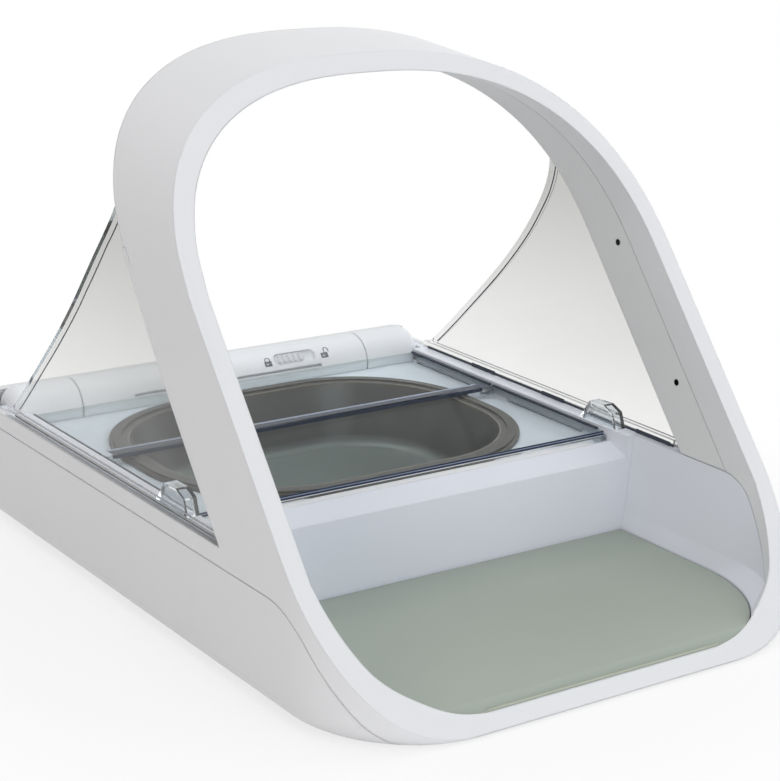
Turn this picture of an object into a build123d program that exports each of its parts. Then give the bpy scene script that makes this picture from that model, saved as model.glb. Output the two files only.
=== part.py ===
"""Microchip pet feeder: a leaning entrance arch on a low tub, with a bowl under a two-panel folding lid.

Frame: +X to the feeder's right as it is faced from behind, +Y to the rear, +Z up, millimetres.
The origin is the middle of the footprint, on the surface that the feet stand on.
"""
from build123d import *
import math
import os

os.makedirs("parts", exist_ok=True)

# ---------------------------------------------------------------- overall size
width = 230.0
depth = 310.0
foot_height = 1.0                    # the feet hold the tub this far off the table
front = -depth / 2                   # the arch's front face meets the table line here
rear = depth / 2
base = foot_height

# ---------------------------------------------------------------- mouldings
wall = 3.0
floor_wall = 2.6
inner_wall = 2.5
fit_gap = 0.3                        # between mouldings that are assembled into one another
front_corner = 47.0                  # plan radius of the two front corners
rear_corner = 16.0
bottom_round = 9.0                   # height of the rounded lower edge
bottom_inset = 7.5                   # how far the rounded lower edge draws in at the sides

# ---------------------------------------------------------------- arch
lean = 39.0                          # degrees from upright
arch_half = width / 2
arch_inner_half = 107.0
arch_straight = 170.0                # straight leg, measured up the leaning face
arch_crown = 108.5                   # rise of the rounded top above the legs, up the face
arch_inner_crown = 99.0
arch_power = 2.5                     # exponent of the rounded top's superellipse
arch_depth = 48.0                    # front face to back face, level
arch_rise = 4.0                      # the band's outside climbs this much to the rear, its inside is level
rim_depth = 8.5                      # depth of the closed front rim
cover_start = 17.5                   # seam between arch and antenna cover, behind the face
cover_end = 45.5
seam_gap = 0.35                      # width of the parting lines that show
seam_round = 30.0                    # the outer parting line turns down behind the rim on this radius
strip_round = 22.0
band_start = 75.0                    # side bands run back from here
hood_radius = 17.5
hood_from = 2.0                      # the hood starts this far behind the hinge axis
hood_rise = 10.0                     # the hood reaches this far above the hinge axis
trough_radius = 13.4

# ---------------------------------------------------------------- heights above the tub's underside
seam_height = 44.0
strip_height = 51.3                  # side strips beside the lid
deck_height = 43.8                   # deck under the lid
axis_height = 46.5                   # hinge, fold and runner axes lie at this one height
lid_gap = 0.2
lid_thickness = 3.0
tray_floor = 5.5
mat_thickness = 4.0
mat_top = tray_floor + mat_thickness
# outlines of the tray, upward: (height, half width, inner front edge from the front, corner radius)
tray_levels = [(tray_floor, 102.0, -4.2, 65.4), (mat_top, 102.0, -4.2, 65.4), (17.0, 103.6, 3.4, 42.0)]
tray_draft = 5.58                    # above the last of them the walls lean out by this angle
deck_wall = 2.5

# ---------------------------------------------------------------- lengths from the front
riser_at = 117.0
riser_top = 41.0
sill_at = 127.5
hinge_at = 292.5
link = 80.0                          # hinge to fold, and fold to runner: equal, so the lid stays in line
lid_open = 80.0                      # degrees
barrel_radius = 13.0
barrel_half = 76.0
barrel_end_half = 108.0

# ---------------------------------------------------------------- lid
lid_half = 102.3
strip_inner = 103.0
fold_gap = 0.4
knuckle_radius = 2.0
knuckle_length = 3.2
fold_pin_radius = 0.9
runner_radius = 1.4
slot_clearance = 0.3

# ---------------------------------------------------------------- bowl
bowl_at = 205.5                      # centre, from the front
bowl_half_x = 89.5
bowl_half_y = 69.5
bowl_corner = 60.0
bowl_lip = 9.0
bowl_deep = 27.0
bowl_taper = 26.0
flange = 1.7

# ---------------------------------------------------------------- batteries, drive, buttons
cell_radius = 13.1
cell_length = 50.0
cell_x = 93.2
cells_at = 201.0                     # middle of each pair, from the front
gear_module = 1.0
barrel_teeth = 18
drive_teeth = 16
gear_angle = 60.0                    # drive gear lies this far below the horizontal through the hinge
gear_x = 80.0
gear_width = 5.5
button_travel = 1.2
button_z = 22.0
button_pitch = 30.0
running = 0.05                       # radial clearance of a running shaft
button_radius = 5.5
button_clear = 0.3
button_recess = 1.2                  # the buttons stand in a shallow recess of the rear wall
button_proud = 1.0                   # above the recess
switch_deep = 1.6
board_x = -12.0
board_length = 112.0
board_thick = 1.6
board_height = 26.0
board_from_rear = 9.6
sounder_x = 0.0
sounder_at = 131.0
sounder_radius = 7.0
sounder_height = 4.5
motor_x = 87.5
motor_length = 20.0
motor_half = 6.0
gearbox_length = 9.0
drive_shaft = 1.0
shaft_seat = 4.0
hub_shaft = 3.0
hub_seat = 6.0
hub_reach = 26.0
barrel_bore = 10.3
cap_room = 98.0                      # inside of the barrel ends reaches out to this X
end_round = 5.0
contact_thick = 0.5
bay_wall = 1.6
bay_height = 11.0
bay_clear = 31.0
door_half_x = 13.4
door_half_y = 51.6
door_gap = 0.35
door_thick = 2.2
door_pin = 0.8                       # radius of the pins that a battery door turns on
door_pin_reach = 1.2                 # into the floor, beyond the opening
screw_radius = 1.5
screw_head = 3.0
screw_head_height = 1.8
screw_length = 16.0
screw_bite = 12.0
head_recess = 6.0
pillar_radius = 4.0
pillar_height = 9.4
boss_places = [(98.0, 135.5), (98.0, 266.0), (42.0, 125.5)]
foot_radius = 6.0
foot_recess = 0.6

# ---------------------------------------------------------------- arch fittings and clear parts
window_behind = 28.6                 # infra-red windows, behind the face
window_heights = (81.5, 133.6)
window_radius = 1.4
window_length = 2.3
coil_start = 20.0
coil_width = 20.0
coil_thick = 1.6
coil_gap = 0.4
slot_deep = 4.3
runner_length = 4.0
wing_x = 112.4
wing_thick = 2.0
wing_bead = 3.2
wing_edge = 3.6                      # width of the thickened rear edge
# the wing's bowed section: (distance from the middle plane, height)
wing_bow = [(112.3, 51.3), (112.9, 75.0), (113.2, 100.0), (113.0, 125.0), (111.4, 145.0), (108.4, 160.0),
            (106.0, 168.5)]
# its rear edge, and the rear edge of the casing's legs in front of it: (from the front, height)
wing_rear = [(280.5, 51.3), (269.5, 60.5), (248.6, 80.0), (227.9, 100.0), (209.6, 120.0), (194.6, 140.0),
             (185.6, 155.0), (181.6, 167.0)]
leg_rear = [(92.5, 51.3), (107.6, 70.0), (123.5, 90.0), (138.8, 110.0), (152.9, 130.0), (166.3, 150.0)]
wing_foot = 4.6
wing_foot_height = 3.0
wing_foot_start = 95.5
wing_foot_end = 280.5
guard_x = 106.4
guard_half = 2.9
guard_wall = 1.2
guard_points = [(126.0, 51.5), (128.5, 58.4), (134.5, 60.8), (144.0, 60.4), (150.0, 51.5)]

# ---------------------------------------------------------------- lid seat and lock
sill_height = 46.4
sill_end = 134.0
sill_half = 93.0
trough_start = 279.6
well_half_x = 85.0
well_half_y = 65.0
well_deep = 28.6
bowl_clear = 0.8
bowl_edge = 0.5
bowl_floor_round = 6.0
seal_inset = 1.6
seal_width = 4.0
seal_height = 0.7
mat_gap = 0.4
release_half = 50.0
release_height = 1.1
lock_angle = 45.0
lock_x = 36.5
lock_slot = 23.0
lock_height = 5.4
lock_gap = 0.25
lock_deep = 2.1
lock_travel = 6.0
lock_ribs = 5
lock_rib_pitch = 2.9
lock_rib_proud = 0.15
lock_rib_deep = 1.6

tilt = math.tan(math.radians(lean))
sweep = Vector(0, arch_depth, arch_rise)
hinge_y = front + hinge_at
hinge_z = base + axis_height
fold_y = hinge_y - link
runner_y = fold_y - link
lid_low = hinge_z + lid_gap
lid_top = lid_low + lid_thickness
deck_z = base + deck_height
strip_z = base + strip_height
seam_z = base + seam_height
tray_z = base + tray_floor
bowl_y = front + bowl_at
inner_half = arch_half - wall        # inner face of the tub's side walls
board_y = rear - board_from_rear
stem_length = board_from_rear - wall - 1.0 - board_thick / 2 - switch_deep - button_travel - 0.1
gear_reach = gear_module * (barrel_teeth + drive_teeth) / 2 + 0.1
button_spots = [board_x + button_pitch * n for n in (-1, 0, 1)]
foot_spots = [(x * side, front + y) for x, y in ((70.0, 24.0), (96.0, 290.0)) for side in (-1, 1)]
window_spots = [(front + window_behind + tilt * (z - arch_rise * window_behind / arch_depth), base + z)
                for z in window_heights]
lock_out = Vector(0, -math.cos(math.radians(lock_angle)), math.sin(math.radians(lock_angle)))
lock_place = Vector(0, hinge_y, hinge_z) + lock_out * barrel_radius
lock_plane = Plane(origin=lock_place, x_dir=(1, 0, 0), z_dir=lock_out)
leg_foot = strip_height / math.cos(math.radians(lean)) + 0.3


def face_plane(behind, rise=arch_rise):
    """Plane parallel to the arch's front face, that far behind it on a band that climbs by rise."""
    share = behind / arch_depth
    origin = (0, front + behind, base + rise * share)
    angle = math.radians(lean)
    return Plane(origin=origin, x_dir=(1, 0, 0), z_dir=(0, -math.cos(angle), math.sin(angle)))


def arch_points(half, crown, count=24):
    """Points round the arch's top: a superellipse from the right leg over to the left leg."""
    points = []
    for step in range(count + 1):
        turn = math.pi * step / count
        across = math.cos(turn)
        up = math.sin(turn)
        reach = (abs(across) ** arch_power + abs(up) ** arch_power) ** (-1 / arch_power)
        points.append((half * across * reach, arch_straight + crown * up * reach))
    return points


def arch_face(half, crown, foot=-30.0, mode=Mode.ADD):
    """Filled arch outline in the leaning plane, for the sketch that is open."""
    with BuildLine() as outline:
        top = Spline(*arch_points(half, crown), tangents=[(0, 1), (0, -1)])
        Polyline(top @ 1, (-half, foot), (half, foot), top @ 0)
    make_face(outline.edges(), mode=mode)


def side_profile(points):
    """Filled outline in the Y-Z plane; points are (from the front, above the tub's underside)."""
    with BuildLine() as outline:
        Polyline(*[(front + y, base + z) for y, z in points], close=True)
    make_face(outline.edges())


def low_zone(sketch, level, radius, gap):
    """Side outline of what lies behind the front rim and below a parting line, its top corner rounded."""
    start = rim_depth + gap
    low = -10.0
    corner = (start + tilt * level, level)
    side_profile([(start + tilt * low, low), corner, (depth + 40, level), (depth + 40, low)])
    spot = Vector(front + corner[0], base + corner[1])
    fillet(sketch.vertices().sort_by_distance(spot)[0], radius)


def oval(half_x, half_y, radius):
    """Filled oval outline round the bowl's centre, for the sketch that is open."""
    with Locations((0, bowl_y)):
        RectangleRounded(2 * half_x, 2 * half_y, radius)


def oval_hole(half_x, half_y, radius):
    """The same outline as a hole."""
    with Locations((0, bowl_y)):
        RectangleRounded(2 * half_x, 2 * half_y, radius, mode=Mode.SUBTRACT)


def make_plan(sketch, inset, front_inset=None, front_radius=None):
    """Footprint outline drawn in by inset, rounded at its corners, in the sketch that is open."""
    nose = inset if front_inset is None else front_inset
    with Locations((0, (nose - inset) / 2)):
        Rectangle(width - 2 * inset, depth - inset - nose)
    fillet(sketch.vertices().group_by(Axis.Y)[0], front_radius or front_corner - inset)
    fillet(sketch.vertices().group_by(Axis.Y)[-1], rear_corner - inset)


def tray_plan(sketch, level, inset=0.0):
    """Outline of the tray at one of its levels, drawn in by inset, in the sketch that is open."""
    half, nose, corner = level[1:]
    length = 1.2 * riser_at              # past the riser, where the form is cut off square
    with Locations((0, front + nose + inset + length / 2)):
        Rectangle(2 * (half - inset), length)
    fillet(sketch.vertices().group_by(Axis.Y)[0], corner - inset)


# ================================================================ shared forms, not written out
with BuildPart() as outer_form:
    rounding = [(0.0, bottom_inset), (0.28, bottom_inset * 0.36), (1.0, 0.0)]
    for share, inset in rounding:
        with BuildSketch(Plane.XY.offset(base + share * bottom_round)) as ring:
            make_plan(ring, inset, front_inset=0.0, front_radius=front_corner - inset * 0.2)
    loft()
    with BuildSketch(Plane.XY.offset(base + bottom_round)) as ring:
        make_plan(ring, 0.0)
    extrude(amount=240.0)

with BuildPart() as tray_form:
    for level in tray_levels:
        with BuildSketch(Plane.XY.offset(base + level[0])) as ring:
            tray_plan(ring, level)
    loft(ruled=True)
    with BuildSketch(Plane.XY.offset(base + tray_levels[-1][0])) as ring:
        tray_plan(ring, tray_levels[-1])
    extrude(amount=strip_height - tray_levels[-1][0] + 0.5, taper=-tray_draft)
    split(bisect_by=Plane(origin=(0, front + riser_at, 0), z_dir=(0, -1, 0)))

with BuildPart() as entrance_form:
    with BuildSketch(face_plane(-40.0, 0.0)):
        arch_face(arch_inner_half, arch_inner_crown)
    extrude(amount=arch_depth * 3, dir=(0, 1, 0))
    with BuildSketch(Plane.XY.offset(strip_z)):
        with Locations((0, 200)):
            Rectangle(3 * width, depth + 500)
    extrude(amount=240.0, mode=Mode.INTERSECT)
    add(tray_form.part)


with BuildPart() as aerial_form:
    with BuildSketch(face_plane(rim_depth + 1.0)):
        arch_face(arch_half - wall, arch_crown - wall, leg_foot)
    extrude(amount=sweep.length * (cover_end - rim_depth - 1.0) / arch_depth, dir=sweep)
    with BuildSketch(face_plane(0.0, 0.0)):
        arch_face(arch_inner_half + inner_wall, arch_inner_crown + inner_wall)
    extrude(amount=arch_depth * 2, dir=(0, 1, 0), mode=Mode.SUBTRACT)


def leg_flange():
    """Side outline of the strip that a leg's skin gains behind the band, in the sketch that is open."""
    with BuildLine() as outline:
        edge = Spline(*[(front + y, base + z) for y, z in leg_rear])
        band = [(front + arch_depth - 2.0 + tilt * (z - arch_rise), base + z) for y, z in leg_rear[::-5]]
        Polyline(edge @ 1, *band, edge @ 0)
    make_face(outline.edges())


# ================================================================ casing
with BuildPart() as upper_casing:
    with BuildSketch(face_plane(0.0)):
        arch_face(arch_half, arch_crown)
    extrude(amount=sweep.length, dir=sweep)
    add(outer_form.part, mode=Mode.INTERSECT)
    add(entrance_form.part, mode=Mode.SUBTRACT)
    with BuildSketch(Plane.YZ.offset(-width)) as zone:
        low_zone(zone, seam_height, seam_round, 0.0)
    extrude(amount=2 * width, mode=Mode.SUBTRACT)
    # room for the deck between the outer skins
    with BuildSketch(Plane.YZ.offset(-inner_half)) as zone:
        low_zone(zone, strip_height + seam_gap, strip_round, 0.0)
    extrude(amount=2 * inner_half, mode=Mode.SUBTRACT)
    # hollow for the aerial, closed by the antenna cover
    add(aerial_form.part, mode=Mode.SUBTRACT)
    with BuildSketch(face_plane(cover_start, 0.0)):
        arch_face(arch_inner_half + inner_wall + 0.1, arch_inner_crown + inner_wall + 0.1, leg_foot)
    extrude(amount=cover_end - cover_start, dir=(0, 1, 0), mode=Mode.SUBTRACT)
    # the outer skin of each leg reaches further back than the rest of the band
    with BuildSketch(Plane.YZ.offset(-arch_half)):
        leg_flange()
    extrude(amount=wall)
    with BuildSketch(Plane.YZ.offset(arch_half - wall)):
        leg_flange()
    extrude(amount=wall)
    # side bands that run back from the legs and round the rear corners
    with BuildSketch(Plane.XY.offset(seam_z)) as ring:
        make_plan(ring, 0.0)
        with BuildSketch(Plane.XY, mode=Mode.PRIVATE) as hole:
            make_plan(hole, wall)
        add(hole.sketch, mode=Mode.SUBTRACT)
        with Locations((0, front + band_start - depth / 2)):
            Rectangle(width, depth, mode=Mode.SUBTRACT)
    extrude(amount=strip_z - seam_z)
    # hood behind the barrel
    with BuildSketch(Plane.YZ.offset(-inner_half)) as hood:
        with Locations((hinge_y, hinge_z)):
            Circle(hood_radius)
            Circle(trough_radius, mode=Mode.SUBTRACT)
        with Locations((hinge_y + hood_radius / 2, hinge_z + seam_height)):
            Rectangle(hood_radius * 3, 2 * (seam_height - hood_rise), mode=Mode.SUBTRACT)
        with Locations((hinge_y - hood_radius, hinge_z)):
            Rectangle(2 * (hood_radius + hood_from), 4 * hood_radius, mode=Mode.SUBTRACT)
        with Locations((hinge_y, seam_z - hood_radius * 2)):
            Rectangle(hood_radius * 4, hood_radius * 4, mode=Mode.SUBTRACT)
    extrude(amount=2 * inner_half)
    add(outer_form.part, mode=Mode.INTERSECT)
upper_casing.part.label = "upper_casing"
export_step(upper_casing.part, "parts/upper_casing.step")

with BuildPart() as antenna_cover:
    with BuildSketch(face_plane(cover_start + seam_gap, 0.0)):
        arch_face(arch_inner_half + inner_wall, arch_inner_crown + inner_wall, leg_foot)
        arch_face(arch_inner_half, arch_inner_crown, leg_foot - 1.0, Mode.SUBTRACT)
    extrude(amount=cover_end - cover_start - 1.5 * seam_gap, dir=(0, 1, 0))
    split(bisect_by=Plane.XY.offset(strip_z + seam_gap))
    with Locations(*[Location((0, y, z), (0, 90, 0)) for y, z in window_spots]):
        Cylinder(window_radius + running, width, mode=Mode.SUBTRACT)
antenna_cover.part.label = "antenna_cover"
export_step(antenna_cover.part, "parts/antenna_cover.step")

with BuildPart() as ir_windows:
    for side in (-1, 1):
        middle = side * (arch_inner_half + window_length / 2)
        with Locations(*[Location((middle, y, z), (0, 90, 0)) for y, z in window_spots]):
            Cylinder(window_radius, window_length)
ir_windows.part.label = "ir_windows"
export_step(ir_windows.part, "parts/ir_windows.step")

with BuildPart() as antenna_coil:
    with BuildSketch(face_plane(coil_start, 0.0)):
        arch_face(arch_inner_half + inner_wall + coil_gap + coil_thick,
                  arch_inner_crown + inner_wall + coil_gap + coil_thick, leg_foot + 8.0)
        arch_face(arch_inner_half + inner_wall + coil_gap,
                  arch_inner_crown + inner_wall + coil_gap, leg_foot, Mode.SUBTRACT)
    extrude(amount=coil_width, dir=(0, 1, 0))
antenna_coil.part.label = "antenna_coil"
export_step(antenna_coil.part, "parts/antenna_coil.step")

# ---------------------------------------------------------------- places shared by tub and deck
screw_spots = [(x * side, front + y) for x, y in boss_places for side in (-1, 1)]
drive_y = hinge_y - gear_reach * math.cos(math.radians(gear_angle))
drive_z = hinge_z - gear_reach * math.sin(math.radians(gear_angle))
cells_y = front + cells_at
bay_half = cell_length + 2.0
door_z = base + 0.2
door_pin_y = cells_y - door_half_y + door_gap + door_thick / 2
door_pin_z = door_z + door_thick / 2

with BuildPart() as lower_tub:
    add(outer_form.part)
    with BuildSketch(Plane.YZ.offset(-width)) as zone:
        low_zone(zone, seam_height - seam_gap, seam_round, seam_gap)
    extrude(amount=2 * width, mode=Mode.INTERSECT)
    with BuildSketch(Plane.XY.offset(base + floor_wall)) as hollow:
        make_plan(hollow, wall)
    extrude(amount=seam_height, mode=Mode.SUBTRACT)
    # battery bays: walls round each pair of cells
    with BuildSketch(Plane.XY.offset(base + floor_wall)):
        with Locations((-cell_x, cells_y), (cell_x, cells_y)):
            Rectangle(2 * (cell_radius + 0.4 + bay_wall), 2 * (bay_half + bay_wall))
            Rectangle(2 * (cell_radius + 0.4), 2 * bay_half, mode=Mode.SUBTRACT)
    extrude(amount=bay_height)
    # door openings, with a rebate for the door's edge
    with Locations((-cell_x, cells_y, base), (cell_x, cells_y, base)):
        Box(2 * door_half_x, 2 * door_half_y, 4 * floor_wall, mode=Mode.SUBTRACT)
    with Locations(*[Location((side * cell_x, door_pin_y, door_pin_z), (0, 90, 0)) for side in (-1, 1)]):
        Cylinder(door_pin + running, 2 * (door_half_x + door_pin_reach + 0.1), mode=Mode.SUBTRACT)
    # screw pillars
    with Locations(*[(x, y, base + floor_wall) for x, y in screw_spots]):
        Cylinder(pillar_radius, pillar_height, align=(Align.CENTER, Align.CENTER, Align.MIN))
    with Locations(*[(x, y, base) for x, y in screw_spots]):
        Cylinder(screw_head + 0.4, head_recess, align=(Align.CENTER, Align.CENTER, Align.MIN),
                 mode=Mode.SUBTRACT)
        Cylinder(screw_radius + 0.2, 40, mode=Mode.SUBTRACT)
    # feet recesses
    with Locations(*[(x, y, base) for x, y in foot_spots]):
        Cylinder(foot_radius + running, 2 * foot_recess, mode=Mode.SUBTRACT)
    # button holes through the rear wall, in a recess
    with BuildSketch(Plane.XZ.offset(-rear)):
        with Locations((button_spots[1], base + button_z)):
            RectangleRounded(2 * (button_pitch + 2 * button_radius), 4 * button_radius, button_radius)
    extrude(amount=button_recess, mode=Mode.SUBTRACT)
    with Locations(*[Location((x, rear - wall / 2, base + button_z), (90, 0, 0)) for x in button_spots]):
        Cylinder(button_radius + button_clear, 3 * wall, mode=Mode.SUBTRACT)
    # pedestal under the gear motor, and slotted rests for the board
    with Locations((motor_x + motor_length / 2, drive_y, base + floor_wall)):
        Box(motor_length - 4.0, 8.0, drive_z - motor_half - fit_gap - base - floor_wall,
            align=(Align.CENTER, Align.CENTER, Align.MIN))
    with Locations((board_x - board_length / 3, board_y, base + floor_wall),
                   (board_x + board_length / 3, board_y, base + floor_wall)):
        Box(4.0, board_thick + 5.0, 8.0, align=(Align.CENTER, Align.CENTER, Align.MIN))
        Box(5.0, board_thick + 2 * fit_gap, 16.0, align=(Align.CENTER, Align.CENTER, Align.MIN),
            mode=Mode.SUBTRACT)
    add(outer_form.part, mode=Mode.INTERSECT)
lower_tub.part.label = "lower_tub"
export_step(lower_tub.part, "parts/lower_tub.step")

with BuildPart() as bowl_outer:
    with BuildSketch(Plane.XY.offset(deck_z)):
        oval(well_half_x, well_half_y, bowl_corner - (bowl_half_x - well_half_x))
    extrude(amount=-well_deep, taper=bowl_taper)

with BuildPart() as deck_tray:
    with BuildSketch(Plane.YZ.offset(-width)) as zone:
        low_zone(zone, strip_height, strip_round, fit_gap)
    extrude(amount=2 * width)
    with BuildSketch(Plane.XY.offset(base + floor_wall + fit_gap)) as ring:
        make_plan(ring, wall + fit_gap)
    extrude(amount=100.0, mode=Mode.INTERSECT)
    add(tray_form.part, mode=Mode.SUBTRACT)
    # air over the deck, between the side strips
    with BuildSketch(Plane.YZ.offset(-strip_inner)):
        side_profile([(riser_at - 1.0, riser_top), (sill_at, sill_height), (sill_end, sill_height),
                      (sill_end + 1.5, deck_height), (trough_start, deck_height), (trough_start, 80.0),
                      (riser_at - 1.0, 80.0)])
    extrude(amount=2 * strip_inner, mode=Mode.SUBTRACT)
    with Locations((0, runner_y, deck_z)):
        Box(2 * strip_inner, 8.0, 20.0, align=(Align.CENTER, Align.CENTER, Align.MIN), mode=Mode.SUBTRACT)
    with Locations((0, front + sill_at + 3.9, deck_z - 0.01)):
        Box(2 * sill_half, 7.8, sill_height - deck_height, align=(Align.CENTER, Align.CENTER, Align.MIN))
    # trough for the barrel
    with Locations(Location((0, hinge_y, hinge_z), (0, 90, 0))):
        Cylinder(trough_radius, 2 * barrel_end_half, mode=Mode.SUBTRACT)
    with Locations((0, front + trough_start, hinge_z)):
        Box(2 * barrel_end_half, 2 * barrel_radius + 4, 30.0,
            align=(Align.CENTER, Align.MIN, Align.MIN), mode=Mode.SUBTRACT)
    with Locations((0, hinge_y + hood_from - fit_gap, seam_z - fit_gap)):
        Box(width, 50.0, 30.0, align=(Align.CENTER, Align.MIN, Align.MIN), mode=Mode.SUBTRACT)
    # space underneath: above the batteries it reaches the tub's wall, higher up it leaves a rim
    with BuildSketch(Plane.XY.offset(base)) as room:
        make_plan(room, wall)
        with Locations((0, front + (riser_at + deck_wall) / 2)):
            Rectangle(width, riser_at + deck_wall, mode=Mode.SUBTRACT)
    extrude(amount=bay_clear, mode=Mode.SUBTRACT)
    with BuildPart(mode=Mode.PRIVATE) as upper_room:
        with BuildSketch(Plane.XY.offset(base + bay_clear)) as room:
            make_plan(room, wall + fit_gap + deck_wall)
            with Locations((0, front + (riser_at + deck_wall) / 2)):
                Rectangle(width, riser_at + deck_wall, mode=Mode.SUBTRACT)
        extrude(amount=deck_height - deck_wall - bay_clear)
        with Locations(Location((0, hinge_y, hinge_z), (0, 90, 0))):
            Cylinder(trough_radius + deck_wall, width, mode=Mode.SUBTRACT)
        with Locations((0, hinge_y + 40.0, hinge_z)):
            Box(width, 80.0 - trough_radius, 2 * trough_radius, mode=Mode.SUBTRACT)
    add(upper_room.part, mode=Mode.SUBTRACT)
    # bowl well
    with BuildSketch(Plane.XY.offset(deck_z - 0.5)):
        oval(well_half_x + deck_wall, well_half_y + deck_wall,
             bowl_corner - (bowl_half_x - well_half_x) + deck_wall)
    extrude(amount=-(well_deep + 1.2), taper=bowl_taper)
    add(bowl_outer.part, mode=Mode.SUBTRACT)
    # pillars for the screws
    with Locations(*[(x, y, base + floor_wall + pillar_height + fit_gap) for x, y in screw_spots]):
        Cylinder(pillar_radius, deck_height - 1.0 - floor_wall - pillar_height - fit_gap,
                 align=(Align.CENTER, Align.CENTER, Align.MIN))
        Cylinder(screw_radius + running, 2 * screw_bite, mode=Mode.SUBTRACT)
    # grooves that the lid's runners slide in
    groove_end = runner_y - runner_radius - slot_clearance
    groove_length = hinge_y - trough_radius - groove_end
    with Locations((0, groove_end + groove_length / 2, hinge_z)):
        Box(2 * (strip_inner + slot_deep), groove_length, 2 * (runner_radius + slot_clearance),
            mode=Mode.SUBTRACT)
    # ways through the trough for the drive gear and the motor
    with Locations(Location((gear_x - 0.8, drive_y, drive_z), (0, 90, 0))):
        Cylinder(gear_module * (drive_teeth / 2 + 1) + 0.6, motor_x - gear_x + 0.8,
                 align=(Align.CENTER, Align.CENTER, Align.MIN), mode=Mode.SUBTRACT)
    with Locations((motor_x - 0.6, drive_y, drive_z)):
        Box(motor_length + 1.2, 2 * motor_half + 1.0, 2 * motor_half + 1.0,
            align=(Align.MIN, Align.CENTER, Align.CENTER), mode=Mode.SUBTRACT)
deck_tray.part.label = "deck_tray"
export_step(deck_tray.part, "parts/deck_tray.step")

with BuildPart() as mat:
    for level in tray_levels[:2]:
        with BuildSketch(Plane.XY.offset(base + level[0])) as ring:
            tray_plan(ring, level, mat_gap)
    loft(ruled=True)
    split(bisect_by=Plane(origin=(0, front + riser_at - mat_gap, 0), z_dir=(0, -1, 0)))
    split(bisect_by=face_plane(mat_gap), keep=Keep.BOTTOM)
mat.part.label = "mat"
export_step(mat.part, "parts/mat.step")

with BuildPart() as food_bowl:
    with BuildSketch(Plane.XY.offset(deck_z)):
        oval(bowl_half_x, bowl_half_y, bowl_corner)
    extrude(amount=flange)
    with BuildSketch(Plane.XY.offset(deck_z)):
        oval(well_half_x - bowl_clear, well_half_y - bowl_clear,
             bowl_corner - (bowl_half_x - well_half_x) - bowl_clear)
    extrude(amount=-(well_deep - fit_gap), taper=bowl_taper)
    with BuildSketch(Plane.XY.offset(deck_z + flange)):
        oval(bowl_half_x - bowl_lip, bowl_half_y - bowl_lip, bowl_corner - bowl_lip)
    extrude(amount=-bowl_deep, taper=bowl_taper, mode=Mode.SUBTRACT)
    fillet(food_bowl.edges().group_by(Axis.Z)[-1], bowl_edge)
    inner_floor = [e for e in food_bowl.edges() if abs(e.center().Z - (deck_z + flange - bowl_deep)) < 0.01]
    fillet(inner_floor, bowl_floor_round)
food_bowl.part.label = "food_bowl"
export_step(food_bowl.part, "parts/food_bowl.step")

with BuildPart() as bowl_seal:
    with BuildSketch(Plane.XY.offset(deck_z + flange)):
        oval(bowl_half_x - seal_inset, bowl_half_y - seal_inset, bowl_corner - seal_inset)
        oval_hole(bowl_half_x - seal_inset - seal_width, bowl_half_y - seal_inset - seal_width,
                  bowl_corner - seal_inset - seal_width)
    extrude(amount=seal_height)
bowl_seal.part.label = "bowl_seal"
export_step(bowl_seal.part, "parts/bowl_seal.step")

# ================================================================ clear side guards
def wing_section(side, half_thick):
    """Bowed section of the clear sheet on one side, in the sketch that is open."""
    with BuildLine() as outline:
        skins = [Spline(*[(side * (x + shift), base + z) for x, z in wing_bow])
                 for shift in (-half_thick, half_thick)]
        Line(skins[0] @ 0, skins[1] @ 0)
        Line(skins[0] @ 1, skins[1] @ 1)
    make_face(outline.edges())


def wing(side):
    """Clear guard between arch, deck and barrel, on one side (-1 left, 1 right)."""
    legs = [(front + y + fit_gap, base + z) for y, z in leg_rear]
    edge = [(front + y, base + z) for y, z in wing_rear]
    tip = (front + arch_depth + tilt * (wing_rear[-1][1] - arch_rise) + fit_gap, base + wing_rear[-1][1])
    with BuildPart() as bead:
        with BuildSketch(Plane.XZ.offset(-rear)):
            wing_section(side, wing_bead / 2)
        extrude(amount=depth)
        with BuildSketch(Plane.YZ.offset(-width)):
            with BuildLine() as outline:
                outer = Spline(*edge)
                inner = Spline(*[(y - wing_edge, z) for y, z in edge])
                Line(outer @ 0, inner @ 0)
                Line(outer @ 1, inner @ 1)
            make_face(outline.edges())
        extrude(amount=2 * width, mode=Mode.INTERSECT)
        split(bisect_by=face_plane(arch_depth + fit_gap), keep=Keep.BOTTOM)
    with BuildPart() as guard:
        with BuildSketch(Plane.XZ.offset(-rear)):
            wing_section(side, wing_thick / 2)
        extrude(amount=depth)
        with BuildSketch(Plane.YZ.offset(-width)):
            with BuildLine() as outline:
                behind_leg = Spline(*legs)
                outer = Spline(*edge)
                Line(behind_leg @ 1, tip)
                Line(tip, outer @ 1)
                Line(outer @ 0, behind_leg @ 0)
            make_face(outline.edges())
        extrude(amount=2 * width, mode=Mode.INTERSECT)
        add(bead.part)
        foot_length = wing_foot_end - wing_foot_start
        with Locations((side * wing_x, front + (wing_foot_end + wing_foot_start) / 2, strip_z)):
            Box(wing_foot, foot_length, wing_foot_height, align=(Align.CENTER, Align.CENTER, Align.MIN))
    return guard


for side, name in ((-1, "wing_left"), (1, "wing_right")):
    guard = wing(side)
    guard.part.label = name
    export_step(guard.part, f"parts/{name}.step")


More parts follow.
